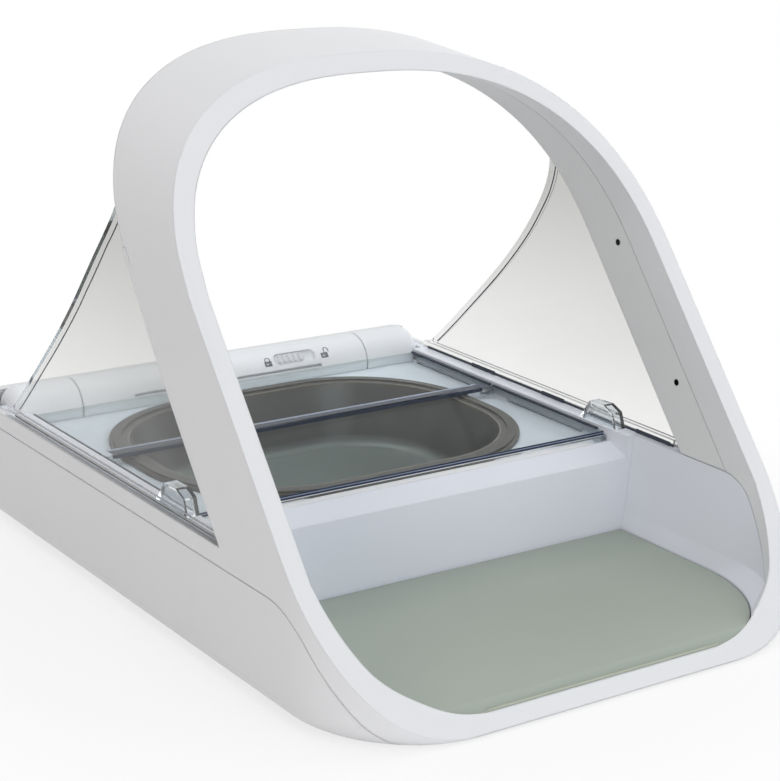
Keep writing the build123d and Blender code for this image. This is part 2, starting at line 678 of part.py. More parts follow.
def runner_guard(side):
    """Clear hood over the runner's front stop, on one side strip."""
    with BuildPart() as hood:
        with BuildSketch(Plane.YZ.offset(side * guard_x - guard_half)):
            side_profile(guard_points)
        extrude(amount=2 * guard_half)
        fillet(hood.edges().filter_by(Axis.X).group_by(Axis.Z)[-1], 2.0)
        with BuildSketch(Plane.YZ.offset(side * guard_x - guard_half + guard_wall)):
            side_profile([(y * 0.86 + guard_points[2][0] * 0.14, z - guard_wall) for y, z in guard_points])
        extrude(amount=2 * (guard_half - guard_wall), mode=Mode.SUBTRACT)
    return hood


for side, name in ((-1, "runner_guard_left"), (1, "runner_guard_right")):
    cap = runner_guard(side)
    cap.part.label = name
    export_step(cap.part, f"parts/{name}.step")

# ================================================================ folding lid
knuckle_a = lid_half - 0.3 - knuckle_length
knuckle_b = knuckle_a - knuckle_length - 0.3


def lid_plate(start, end, half):
    """Clear plate of the lid between two places along Y, in the part that is open."""
    with Locations((0, (start + end) / 2, lid_low)):
        Box(2 * half, end - start, lid_thickness, align=(Align.CENTER, Align.CENTER, Align.MIN))


def knuckles(x_start, at_y, bore):
    """A pair of knuckles, one each side, round the axis at at_y, in the part that is open."""
    for side in (-1, 1):
        middle = side * (x_start + knuckle_length / 2)
        with Locations(Location((middle, at_y, hinge_z), (0, 90, 0))):
            Cylinder(knuckle_radius, knuckle_length)
            if bore:
                Cylinder(bore, knuckle_length + 1.0, mode=Mode.SUBTRACT)


with BuildPart() as lid_rear_panel:
    lid_plate(fold_y + fold_gap, hinge_y - barrel_radius - slot_clearance - 0.1, lid_half)
    lid_plate(hinge_y - 20.0, hinge_y - 10.0, barrel_half - 0.5)
    with Locations(Location((0, hinge_y, hinge_z), (0, 90, 0))):
        Cylinder(barrel_radius, width, mode=Mode.SUBTRACT)
    for side in (-1, 1):
        middle = side * (knuckle_b + knuckle_length / 2)
        with Locations(Location((middle, fold_y, hinge_z), (0, 90, 0))):
            Cylinder(knuckle_radius + 0.35, knuckle_length + 0.5, mode=Mode.SUBTRACT)
    knuckles(knuckle_a, fold_y, fold_pin_radius)
    # stiffening rib under each side edge
    with Locations(*[(side * (lid_half - 1.2), (fold_y + hinge_y) / 2 - 4.0, lid_low) for side in (-1, 1)]):
        Box(1.6, link - 32.0, 1.6, align=(Align.CENTER, Align.CENTER, Align.MAX))
lid_rear_panel.part.label = "lid_rear_panel"
export_step(lid_rear_panel.part, "parts/lid_rear_panel.step")

with BuildPart() as lid_front_panel:
    lid_plate(runner_y, fold_y - fold_gap, lid_half)
    for side in (-1, 1):
        middle = side * (knuckle_a + knuckle_length / 2)
        with Locations(Location((middle, fold_y, hinge_z), (0, 90, 0))):
            Cylinder(knuckle_radius + 0.35, knuckle_length + 0.9, mode=Mode.SUBTRACT)
    knuckles(knuckle_b, fold_y, fold_pin_radius + running)
    knuckles(lid_half - knuckle_length - 1.0, runner_y, None)
    for side in (-1, 1):
        middle = side * (lid_half - 1.0 + (runner_length - 1.0) / 2)
        with Locations(Location((middle, runner_y, hinge_z), (0, 90, 0))):
            Cylinder(runner_radius, runner_length + 1.0)
    with Locations(*[(side * (lid_half - 1.2), (fold_y + runner_y) / 2, lid_low) for side in (-1, 1)]):
        Box(1.6, link - 26.0, 1.6, align=(Align.CENTER, Align.CENTER, Align.MAX))
lid_front_panel.part.label = "lid_front_panel"
export_step(lid_front_panel.part, "parts/lid_front_panel.step")

with BuildPart() as fold_pins:
    for side in (-1, 1):
        middle = side * (knuckle_b + knuckle_length + 0.15)
        with Locations(Location((middle, fold_y, hinge_z), (0, 90, 0))):
            Cylinder(fold_pin_radius, 2 * knuckle_length + 0.3)
fold_pins.part.label = "fold_pins"
export_step(fold_pins.part, "parts/fold_pins.step")

# ================================================================ hinge barrel and its drive
with BuildPart() as hinge_barrel:
    with Locations(Location((0, hinge_y, hinge_z), (0, 90, 0))):
        Cylinder(barrel_radius, 2 * barrel_half)
        Cylinder(barrel_bore, 2 * barrel_half, mode=Mode.SUBTRACT)
    with BuildSketch(Plane.XY.offset(lid_top + 0.25)):
        with Locations((0, hinge_y - barrel_radius)):
            Rectangle(2 * release_half, 6.0)
    extrude(amount=release_height, mode=Mode.SUBTRACT)
    with BuildSketch(lock_plane):
        with Locations((lock_x, 0)):
            SlotOverall(lock_slot, lock_height + 2 * lock_gap)
    extrude(amount=-lock_deep, mode=Mode.SUBTRACT)
hinge_barrel.part.label = "hinge_barrel"
export_step(hinge_barrel.part, "parts/hinge_barrel.step")

with BuildPart() as lock_slider:
    with BuildSketch(lock_plane):
        with Locations((lock_x - lock_travel / 2, 0)):
            SlotOverall(lock_slot - lock_travel - 2 * lock_gap, lock_height)
    extrude(amount=-(lock_deep - 0.15))
    with Locations(Location((0, hinge_y, hinge_z), (0, 90, 0))):
        Cylinder(barrel_radius - 0.35, width, mode=Mode.INTERSECT)
    with BuildSketch(lock_plane.offset(-lock_rib_deep)):
        with Locations((lock_x - lock_travel / 2, 0)):
            with GridLocations(lock_rib_pitch, 0, lock_ribs, 1):
                Rectangle(lock_rib_pitch * 0.45, lock_height * 0.74)
    extrude(amount=lock_rib_deep + lock_rib_proud)
lock_slider.part.label = "lock_slider"
export_step(lock_slider.part, "parts/lock_slider.step")


def spur(teeth, thick, bore=0.0):
    """Spur gear about +Z in the open part: a tooth with straight flanks and a flat top, repeated."""
    pitch = gear_module * teeth / 2
    root = pitch - 1.2 * gear_module
    tip = pitch + 0.9 * gear_module
    with BuildSketch() as outline:
        Circle(root)
        half_root = 0.34 * math.pi * gear_module
        half_tip = 0.14 * math.pi * gear_module
        with BuildLine() as tooth:
            Polyline((root - 0.4, -half_root), (tip, -half_tip), (tip, half_tip), (root - 0.4, half_root),
                     close=True)
        tooth_face = make_face(tooth.edges(), mode=Mode.PRIVATE)
        with PolarLocations(0, teeth):
            add(tooth_face)
        if bore:
            Circle(bore, mode=Mode.SUBTRACT)
    return extrude(outline.sketch, amount=thick, mode=Mode.PRIVATE)


barrel_phase = gear_angle - 90.0      # a tooth points at the drive gear
drive_phase = gear_angle + 90.0 + 180.0 / drive_teeth
with BuildPart() as barrel_gear:
    gear = spur(barrel_teeth, gear_width, hub_shaft + running)
    add(Location((gear_x, hinge_y, hinge_z), (0, 90, 0)) * Rot(0, 0, barrel_phase) * gear)
barrel_gear.part.label = "barrel_gear"
export_step(barrel_gear.part, "parts/barrel_gear.step")

with BuildPart() as drive_gear:
    gear = spur(drive_teeth, gear_width)
    add(Location((gear_x, drive_y, drive_z), (0, 90, 0)) * Rot(0, 0, drive_phase) * gear)
    with Locations(Location((gear_x + gear_width, drive_y, drive_z), (0, 90, 0))):
        Cylinder(drive_shaft, motor_x - gear_x - gear_width + shaft_seat,
                 align=(Align.CENTER, Align.CENTER, Align.MIN))
drive_gear.part.label = "drive_gear"
export_step(drive_gear.part, "parts/drive_gear.step")

with BuildPart() as gear_motor:
    with Locations((motor_x, drive_y, drive_z)):
        Box(gearbox_length, 2 * motor_half, 2 * (motor_half - 1.0),
            align=(Align.MIN, Align.CENTER, Align.CENTER))
    with BuildSketch(Plane.YZ.offset(motor_x + gearbox_length)):
        with Locations((drive_y, drive_z)):
            Circle(motor_half)
            Rectangle(2 * motor_half, 2 * (motor_half - 1.0), mode=Mode.INTERSECT)
    extrude(amount=motor_length - gearbox_length)
    with Locations(Location((motor_x, drive_y, drive_z), (0, 90, 0))):
        Cylinder(drive_shaft + running, 2 * shaft_seat + 1.0, mode=Mode.SUBTRACT)
gear_motor.part.label = "gear_motor"
export_step(gear_motor.part, "parts/gear_motor.step")

for side, name in ((-1, "barrel_hub_left"), (1, "barrel_hub_right")):
    with BuildPart() as hub:
        with Locations(Location((side * (barrel_half - hub_seat / 2), hinge_y, hinge_z), (0, 90, 0))):
            Cylinder(barrel_bore - running, hub_seat)
        with Locations(Location((side * (barrel_half + hub_reach / 2 - 1.0), hinge_y, hinge_z), (0, 90, 0))):
            Cylinder(hub_shaft, hub_reach + 2.0)
    hub.part.label = name
    export_step(hub.part, f"parts/{name}.step")

for side, name in ((-1, "barrel_end_left"), (1, "barrel_end_right")):
    with BuildPart() as cap:
        inner = barrel_half + 0.5
        with Locations(Location((side * (inner + barrel_end_half) / 2, hinge_y, hinge_z), (0, 90, 0))):
            Cylinder(barrel_radius, barrel_end_half - inner)
        outer_edge = cap.edges().filter_by(GeomType.CIRCLE).sort_by(Axis.X)[-1 if side > 0 else 0]
        fillet(outer_edge, end_round)
        with Locations(Location((side * (inner + cap_room) / 2, hinge_y, hinge_z), (0, 90, 0))):
            Cylinder(barrel_radius - inner_wall, cap_room - inner + 0.001, mode=Mode.SUBTRACT)
        bearing_at = side * (cap_room + (barrel_end_half - 3.0)) / 2
        with Locations(Location((bearing_at, hinge_y, hinge_z), (0, 90, 0))):
            Cylinder(hub_shaft + running, barrel_end_half - 3.0 - cap_room + 0.02, mode=Mode.SUBTRACT)
        if side > 0:
            with Locations(Location((gear_x - 0.8, drive_y, drive_z), (0, 90, 0))):
                Cylinder(gear_module * (drive_teeth / 2 + 1) + 0.6, motor_x - gear_x + 0.8,
                         align=(Align.CENTER, Align.CENTER, Align.MIN), mode=Mode.SUBTRACT)
            with Locations((motor_x - 0.6, drive_y, drive_z)):
                Box(motor_length + 1.2, 2 * motor_half + 1.0, 2 * motor_half + 1.0,
                    align=(Align.MIN, Align.CENTER, Align.CENTER), mode=Mode.SUBTRACT)
    cap.part.label = name
    export_step(cap.part, f"parts/{name}.step")

# ================================================================ electrics
with BuildPart() as main_board:
    with Locations((board_x, board_y, base + floor_wall + fit_gap)):
        Box(board_length, board_thick, board_height, align=(Align.CENTER, Align.CENTER, Align.MIN))
    with Locations(*[(x, board_y + board_thick / 2, base + button_z) for x in button_spots]):
        Box(6.0, switch_deep, 6.0, align=(Align.CENTER, Align.MIN, Align.CENTER))
    with Locations((board_x - 20.0, board_y - board_thick / 2, base + 14.0)):
        Box(14.0, 1.4, 14.0, align=(Align.CENTER, Align.MAX, Align.CENTER))
    with Locations((board_x + 25.0, board_y - board_thick / 2, base + 12.0)):
        Box(8.0, 5.0, 10.0, align=(Align.CENTER, Align.MAX, Align.CENTER))
main_board.part.label = "main_board"
export_step(main_board.part, "parts/main_board.step")

with BuildPart() as sounder:
    with Locations((sounder_x, front + sounder_at, base + floor_wall)):
        Cylinder(sounder_radius, sounder_height, align=(Align.CENTER, Align.CENTER, Align.MIN))
    fillet(sounder.edges().group_by(Axis.Z)[-1], 0.8)
    with Locations((sounder_x, front + sounder_at, base + floor_wall + sounder_height)):
        Cylinder(1.5, 3.0, mode=Mode.SUBTRACT)
sounder.part.label = "sounder"
export_step(sounder.part, "parts/sounder.step")

cell_z = base + floor_wall + fit_gap + cell_radius
with BuildPart() as battery_cells:
    for side in (-1, 1):
        for place in (-1, 1):
            middle = cells_y + place * (cell_length / 2 + 0.15)
            with Locations(Location((side * cell_x, middle, cell_z), (90, 0, 0))):
                Cylinder(cell_radius, cell_length - 1.6)
            with Locations(Location((side * cell_x, middle - 0.8 * side, cell_z), (90, 0, 0))):
                Cylinder(3.0, cell_length)
battery_cells.part.label = "battery_cells"
export_step(battery_cells.part, "parts/battery_cells.step")

with BuildPart() as battery_contacts:
    for side in (-1, 1):
        for place in (-1, 1):
            with Locations((side * cell_x, cells_y + place * (bay_half - contact_thick / 2), cell_z)):
                Box(14.0, contact_thick, 14.0)
battery_contacts.part.label = "battery_contacts"
export_step(battery_contacts.part, "parts/battery_contacts.step")

for side, name in ((-1, "battery_door_left"), (1, "battery_door_right")):
    with BuildPart() as door:
        with Locations((side * cell_x, cells_y, door_z)):
            Box(2 * (door_half_x - door_gap), 2 * (door_half_y - door_gap), door_thick,
                align=(Align.CENTER, Align.CENTER, Align.MIN))
        # rounded front edge, which turns on a pin at each end
        fillet(door.faces().sort_by(Axis.Y)[0].edges().filter_by(Axis.X), door_thick / 2 - 0.02)
        with Locations(Location((side * cell_x, door_pin_y, door_pin_z), (0, 90, 0))):
            Cylinder(door_pin, 2 * (door_half_x + door_pin_reach))
        with Locations(*[(side * cell_x, cells_y + door_half_y - 8.0 - 2.2 * n, door_z) for n in range(4)]):
            Box(2 * door_half_x - 10.0, 1.0, 0.8, align=(Align.CENTER, Align.CENTER, Align.CENTER),
                mode=Mode.SUBTRACT)
    door.part.label = name
    export_step(door.part, f"parts/{name}.step")

with BuildPart() as case_screws:
    with Locations(*[(x, y, base + head_recess) for x, y in screw_spots]):
        Cylinder(screw_head, screw_head_height, align=(Align.CENTER, Align.CENTER, Align.MAX))
        Cylinder(screw_radius, screw_length, align=(Align.CENTER, Align.CENTER, Align.MIN))
    with Locations(*[(x, y, base + head_recess - screw_head_height) for x, y in screw_spots]):
        Box(0.8, 3.6, 1.6, mode=Mode.SUBTRACT)
        Box(3.6, 0.8, 1.6, mode=Mode.SUBTRACT)
case_screws.part.label = "case_screws"
export_step(case_screws.part, "parts/case_screws.step")

with BuildPart() as feet:
    with Locations(*[(x, y, 0) for x, y in foot_spots]):
        Cylinder(foot_radius, foot_height + foot_recess, align=(Align.CENTER, Align.CENTER, Align.MIN))
    fillet(feet.edges().group_by(Axis.Z)[0], 0.5)
feet.part.label = "feet"
export_step(feet.part, "parts/feet.step")

for x, name in zip(button_spots, ("button_training", "button_lid", "button_add_pet")):
    with BuildPart() as button:
        with Locations(Location((x, rear - button_recess + button_proud, base + button_z), (90, 0, 0))):
            Cylinder(button_radius, button_proud - button_recess + wall + fit_gap,
                     align=(Align.CENTER, Align.CENTER, Align.MIN))
        fillet(button.edges().group_by(Axis.Y)[-1], 0.6)
        with Locations(Location((x, rear - wall - fit_gap, base + button_z), (90, 0, 0))):
            Cylinder(button_radius + 1.5, 1.2, align=(Align.CENTER, Align.CENTER, Align.MIN))
        with Locations(Location((x, rear - wall - 1.0, base + button_z), (90, 0, 0))):
            Cylinder(1.5, stem_length, align=(Align.CENTER, Align.CENTER, Align.MIN))
    button.part.label = name
    export_step(button.part, f"parts/{name}.step")
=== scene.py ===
"""Looks of a microchip pet feeder: a leaning entrance arch on a low tub, a mat in the tray and an oval bowl
under a clear folding lid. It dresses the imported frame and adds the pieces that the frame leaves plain."""

from __future__ import annotations

import logging
import math
from dataclasses import dataclass, field
from enum import Enum
from typing import Iterable, Sequence

import bmesh
import bpy
from mathutils import Matrix, Vector

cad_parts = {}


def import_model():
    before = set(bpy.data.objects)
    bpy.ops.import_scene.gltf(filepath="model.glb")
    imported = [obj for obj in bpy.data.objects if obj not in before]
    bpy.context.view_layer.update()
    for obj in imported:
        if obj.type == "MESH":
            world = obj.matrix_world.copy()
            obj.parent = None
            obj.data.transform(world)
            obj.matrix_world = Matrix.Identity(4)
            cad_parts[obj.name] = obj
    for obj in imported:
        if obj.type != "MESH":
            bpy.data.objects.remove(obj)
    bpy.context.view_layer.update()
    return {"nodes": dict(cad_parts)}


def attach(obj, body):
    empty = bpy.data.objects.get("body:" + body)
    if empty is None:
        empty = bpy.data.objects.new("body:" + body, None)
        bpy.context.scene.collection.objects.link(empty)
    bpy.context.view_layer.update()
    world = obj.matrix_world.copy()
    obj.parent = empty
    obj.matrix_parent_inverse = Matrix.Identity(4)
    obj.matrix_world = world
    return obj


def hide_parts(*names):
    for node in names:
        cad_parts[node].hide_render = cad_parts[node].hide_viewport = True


LOG = logging.getLogger("feeder")
MM = 0.001


# ----------------------------------------------------------------------------------------------- colour and nodes
def linear(hex_code: str) -> tuple[float, float, float, float]:
    """Turn an sRGB hex colour into linear values.

    Args:
        hex_code: Colour as six hex digits, with or without a leading hash.

    Returns:
        Linear red, green and blue, and 1 for alpha.
    """
    digits = hex_code.lstrip("#")
    parts = [int(digits[i : i + 2], 16) / 255 for i in (0, 2, 4)]
    red, green, blue = (c / 12.92 if c <= 0.04045 else ((c + 0.055) / 1.055) ** 2.4 for c in parts)
    return (red, green, blue, 1.0)


def per_metre(size_mm: float) -> float:
    """Texture scale whose cells are size_mm across, for coordinates in metres."""
    return 1000.0 / size_mm


def add_node(
    tree: bpy.types.NodeTree,
    kind: str,
    settings: dict[str, object] | None = None,
    values: dict[str | int, object] | None = None,
    links: dict[str | int, bpy.types.NodeSocket] | None = None,
) -> bpy.types.Node:
    """Add one shader node with its settings, socket values and incoming links.

    Args:
        tree: Node tree that takes the node.
        kind: Node type, such as "ShaderNodeTexNoise".
        settings: Attributes of the node by name.
        values: Default values of input sockets, by name or index.
        links: Output sockets that feed input sockets, by name or index.

    Returns:
        The new node.
    """
    node = tree.nodes.new(kind)
    for name, value in (settings or {}).items():
        setattr(node, name, value)
    for key, value in (values or {}).items():
        node.inputs[key].default_value = value
    for key, socket in (links or {}).items():
        tree.links.new(socket, node.inputs[key])
    return node


def new_material(name: str) -> tuple[bpy.types.Material, bpy.types.NodeTree, bpy.types.Node]:
    """Make an empty node material.

    Args:
        name: Material name.

    Returns:
        The material, its tree and its output node.
    """
    material = bpy.data.materials.new(name)
    material.use_nodes = True
    tree = material.node_tree
    tree.nodes.clear()
    return material, tree, tree.nodes.new("ShaderNodeOutputMaterial")


# ----------------------------------------------------------------------------------------------- finishes
@dataclass(frozen=True)
class MouldedPlastic:
    """Injection-moulded plastic such as ABS: one colour, a spark-eroded grain and a soft satin gloss."""

    name: str
    colour: str
    shade: str
    roughness: float = 0.42
    grain_mm: float = 0.9  # a real spark-eroded grain is about 0.1 mm and would vanish, so it is drawn coarser
    grain_depth_mm: float = 0.012
    grain_strength: float = 0.35
    mottle_mm: float = 60.0
    gloss_spread: tuple[float, float] = (-0.04, 0.05)
    edge_mm: float = 0.9
    ior: float = 1.53
    mirror: float = 0.08  # far under ABS's own 0.5, or the white background would whiten every grazing face

    def build(self) -> bpy.types.Material:
        """Build the material: slow drift of colour and gloss, a fine grain, and edges softened as by a mould.

        Returns:
            The material.
        """
        material, tree, output = new_material(self.name)
        place = add_node(tree, "ShaderNodeTexCoord").outputs["Object"]
        drift = add_node(
            tree,
            "ShaderNodeTexNoise",
            values={"Scale": per_metre(self.mottle_mm), "Detail": 2.0},
            links={"Vector": place},
        )
        tone = add_node(
            tree,
            "ShaderNodeMix",
            {"data_type": "RGBA"},
            {6: linear(self.colour), 7: linear(self.shade)},
            {0: drift.outputs["Fac"]},
        )
        gloss = add_node(
            tree,
            "ShaderNodeMapRange",
            values={"To Min": self.roughness + self.gloss_spread[0], "To Max": self.roughness + self.gloss_spread[1]},
            links={"Value": drift.outputs["Fac"]},
        )
        grain = add_node(
            tree,
            "ShaderNodeTexNoise",
            values={"Scale": per_metre(self.grain_mm), "Detail": 3.0},
            links={"Vector": place},
        )
        soft = add_node(tree, "ShaderNodeBevel", {"samples": 4}, {"Radius": self.edge_mm * MM})
        bump = add_node(
            tree,
            "ShaderNodeBump",
            values={"Strength": self.grain_strength, "Distance": self.grain_depth_mm * MM},
            links={"Height": grain.outputs["Fac"], "Normal": soft.outputs[0]},
        )
        shader = add_node(
            tree,
            "ShaderNodeBsdfPrincipled",
            values={"IOR": self.ior, "Specular IOR Level": self.mirror},
            links={"Base Color": tone.outputs[2], "Roughness": gloss.outputs[0], "Normal": bump.outputs[0]},
        )
        tree.links.new(shader.outputs[0], output.inputs["Surface"])
        return material


@dataclass(frozen=True)
class ClearPlastic:
    """Moulded clear polycarbonate: it shows what is behind it, tints it slightly and lets lamps through."""

    name: str
    tint: str
    roughness: float = 0.03
    ior: float = 1.45
    mirror: float = 0.5
    painted_shade_tint: str = ""  # painted shade: a darker tint from high_mm up, where a bowed wall is seen more edgewise; empty for the same tint
    low_mm: float = 60.0
    high_mm: float = 150.0
    wave_mm: float = 45.0
    wave_depth_mm: float = 0.2
    wave_strength: float = 0.15

    def build(self) -> bpy.types.Material:
        """Build the material: glass for the eye, a plain tinted filter for light on its way to what lies behind.

        Returns:
            The material.
        """
        material, tree, output = new_material(self.name)
        place = add_node(tree, "ShaderNodeTexCoord").outputs["Object"]
        axes = add_node(tree, "ShaderNodeSeparateXYZ", links={0: place})
        # painted shade: between low_mm and high_mm the tint turns to the upper tint, darker on the guards
        height = add_node(
            tree,
            "ShaderNodeMapRange",
            values={"From Min": self.low_mm * MM, "From Max": self.high_mm * MM},
            links={"Value": axes.outputs["Z"]},
        )
        tint = add_node(
            tree,
            "ShaderNodeMix",
            {"data_type": "RGBA"},
            {6: linear(self.tint), 7: linear(self.painted_shade_tint or self.tint)},
            {0: height.outputs[0]},
        )
        waves = add_node(
            tree,
            "ShaderNodeTexNoise",
            values={"Scale": per_metre(self.wave_mm), "Detail": 1.0},
            links={"Vector": place},
        )
        bump = add_node(
            tree,
            "ShaderNodeBump",
            values={"Strength": self.wave_strength, "Distance": self.wave_depth_mm * MM},
            links={"Height": waves.outputs["Fac"]},
        )
        glass = add_node(
            tree,
            "ShaderNodeBsdfPrincipled",
            values={
                "Roughness": self.roughness,
                "IOR": self.ior,
                "Transmission Weight": 1.0,
                "Specular IOR Level": self.mirror,
            },
            links={"Base Color": tint.outputs[2], "Normal": bump.outputs[0]},
        )
        clear = add_node(tree, "ShaderNodeBsdfTransparent", values={"Color": linear(self.tint)})
        path = add_node(tree, "ShaderNodeLightPath")
        blend = add_node(
            tree,
            "ShaderNodeMixShader",
            links={0: path.outputs["Is Shadow Ray"], 1: glass.outputs[0], 2: clear.outputs[0]},
        )
        tree.links.new(blend.outputs[0], output.inputs["Surface"])
        return material


@dataclass(frozen=True)
class ZonedPlastic:
    """Satin moulded bowl whose floor, wall and rim catch the light differently, so each has its own colour."""

    name: str
    floor: str
    wall: str
    rim: str
    floor_to_wall_mm: tuple[float, float] = (20.5, 24.5)
    wall_to_rim_mm: tuple[float, float] = (44.8, 45.5)
    roughness: float = 0.3
    ior: float = 1.49
    grain_mm: float = 1.4  # the real mould finish is finer than a pixel, so it is drawn coarser
    grain_depth_mm: float = 0.012
    grain_strength: float = 0.35

    def build(self) -> bpy.types.Material:
        """Build the material: three colours by height with a soft step between them, and a fine grain bump.

        Returns:
            The material.
        """
        material, tree, output = new_material(self.name)
        place = add_node(tree, "ShaderNodeTexCoord").outputs["Object"]
        axes = add_node(tree, "ShaderNodeSeparateXYZ", links={0: place})
        low = add_node(
            tree,
            "ShaderNodeMapRange",
            values={"From Min": self.floor_to_wall_mm[0] * MM, "From Max": self.floor_to_wall_mm[1] * MM},
            links={"Value": axes.outputs["Z"]},
        )
        high = add_node(
            tree,
            "ShaderNodeMapRange",
            values={"From Min": self.wall_to_rim_mm[0] * MM, "From Max": self.wall_to_rim_mm[1] * MM},
            links={"Value": axes.outputs["Z"]},
        )
        inside = add_node(
            tree,
            "ShaderNodeMix",
            {"data_type": "RGBA"},
            {6: linear(self.floor), 7: linear(self.wall)},
            {0: low.outputs[0]},
        )
        tone = add_node(
            tree,
            "ShaderNodeMix",
            {"data_type": "RGBA"},
            {7: linear(self.rim)},
            {0: high.outputs[0], 6: inside.outputs[2]},
        )
        grain = add_node(
            tree,
            "ShaderNodeTexNoise",
            values={"Scale": per_metre(self.grain_mm), "Detail": 3.0},
            links={"Vector": place},
        )
        bump = add_node(
            tree,
            "ShaderNodeBump",
            values={"Strength": self.grain_strength, "Distance": self.grain_depth_mm * MM},
            links={"Height": grain.outputs["Fac"]},
        )
        shader = add_node(
            tree,
            "ShaderNodeBsdfPrincipled",
            values={"Roughness": self.roughness, "IOR": self.ior},
            links={"Base Color": tone.outputs[2], "Normal": bump.outputs[0]},
        )
        tree.links.new(shader.outputs[0], output.inputs["Surface"])
        return material


@dataclass(frozen=True)
class SoftRubber:
    """Compression-moulded silicone rubber: matt, slightly dusty, with a fine leathery grain."""

    name: str
    colour: str
    shade: str
    roughness: float = 0.72
    ior: float = 1.41
    mottle_mm: float = 70.0
    grain_mm: float = 1.6  # the real leather grain is about 0.5 mm, so it is drawn coarser
    grain_depth_mm: float = 0.05
    grain_strength: float = 0.3
    dust: float = 0.08
    dust_roughness: float = 0.5

    def build(self) -> bpy.types.Material:
        """Build the material: slow colour drift and a fine cellular grain in the bump.

        Returns:
            The material.
        """
        material, tree, output = new_material(self.name)
        place = add_node(tree, "ShaderNodeTexCoord").outputs["Object"]
        drift = add_node(
            tree,
            "ShaderNodeTexNoise",
            values={"Scale": per_metre(self.mottle_mm), "Detail": 3.0},
            links={"Vector": place},
        )
        tone = add_node(
            tree,
            "ShaderNodeMix",
            {"data_type": "RGBA"},
            {6: linear(self.colour), 7: linear(self.shade)},
            {0: drift.outputs["Fac"]},
        )
        grain = add_node(
            tree, "ShaderNodeTexVoronoi", values={"Scale": per_metre(self.grain_mm)}, links={"Vector": place}
        )
        bump = add_node(
            tree,
            "ShaderNodeBump",
            values={"Strength": self.grain_strength, "Distance": self.grain_depth_mm * MM},
            links={"Height": grain.outputs["Distance"]},
        )
        shader = add_node(
            tree,
            "ShaderNodeBsdfPrincipled",
            values={
                "Roughness": self.roughness,
                "IOR": self.ior,
                "Sheen Weight": self.dust,
                "Sheen Roughness": self.dust_roughness,
            },
            links={"Base Color": tone.outputs[2], "Normal": bump.outputs[0]},
        )
        tree.links.new(shader.outputs[0], output.inputs["Surface"])
        return material


@dataclass(frozen=True)
class PlainMetal:
    """Plated or drawn metal: one colour, fine drawing lines along X and slight wear in its roughness."""

    name: str
    colour: str
    roughness: float = 0.3
    gloss_spread: tuple[float, float] = (-0.08, 0.1)
    line_mm: float = 0.4  # real drawing lines are about 0.05 mm apart, so they are drawn coarser
    stretch: float = 0.05

    def build(self) -> bpy.types.Material:
        """Build the material: stretched noise for the drawing lines.

        Returns:
            The material.
        """
        material, tree, output = new_material(self.name)
        place = add_node(tree, "ShaderNodeTexCoord").outputs["Object"]
        along = add_node(
            tree, "ShaderNodeMapping", values={"Scale": (self.stretch, 1.0, 1.0)}, links={"Vector": place}
        )
        lines = add_node(
            tree, "ShaderNodeTexNoise", values={"Scale": per_metre(self.line_mm)}, links={"Vector": along.outputs[0]}
        )
        gloss = add_node(
            tree,
            "ShaderNodeMapRange",
            values={"To Min": self.roughness + self.gloss_spread[0], "To Max": self.roughness + self.gloss_spread[1]},
            links={"Value": lines.outputs["Fac"]},
        )
        shader = add_node(
            tree,
            "ShaderNodeBsdfPrincipled",
            values={"Base Color": linear(self.colour), "Metallic": 1.0},
            links={"Roughness": gloss.outputs[0]},
        )
        tree.links.new(shader.outputs[0], output.inputs["Surface"])
        return material


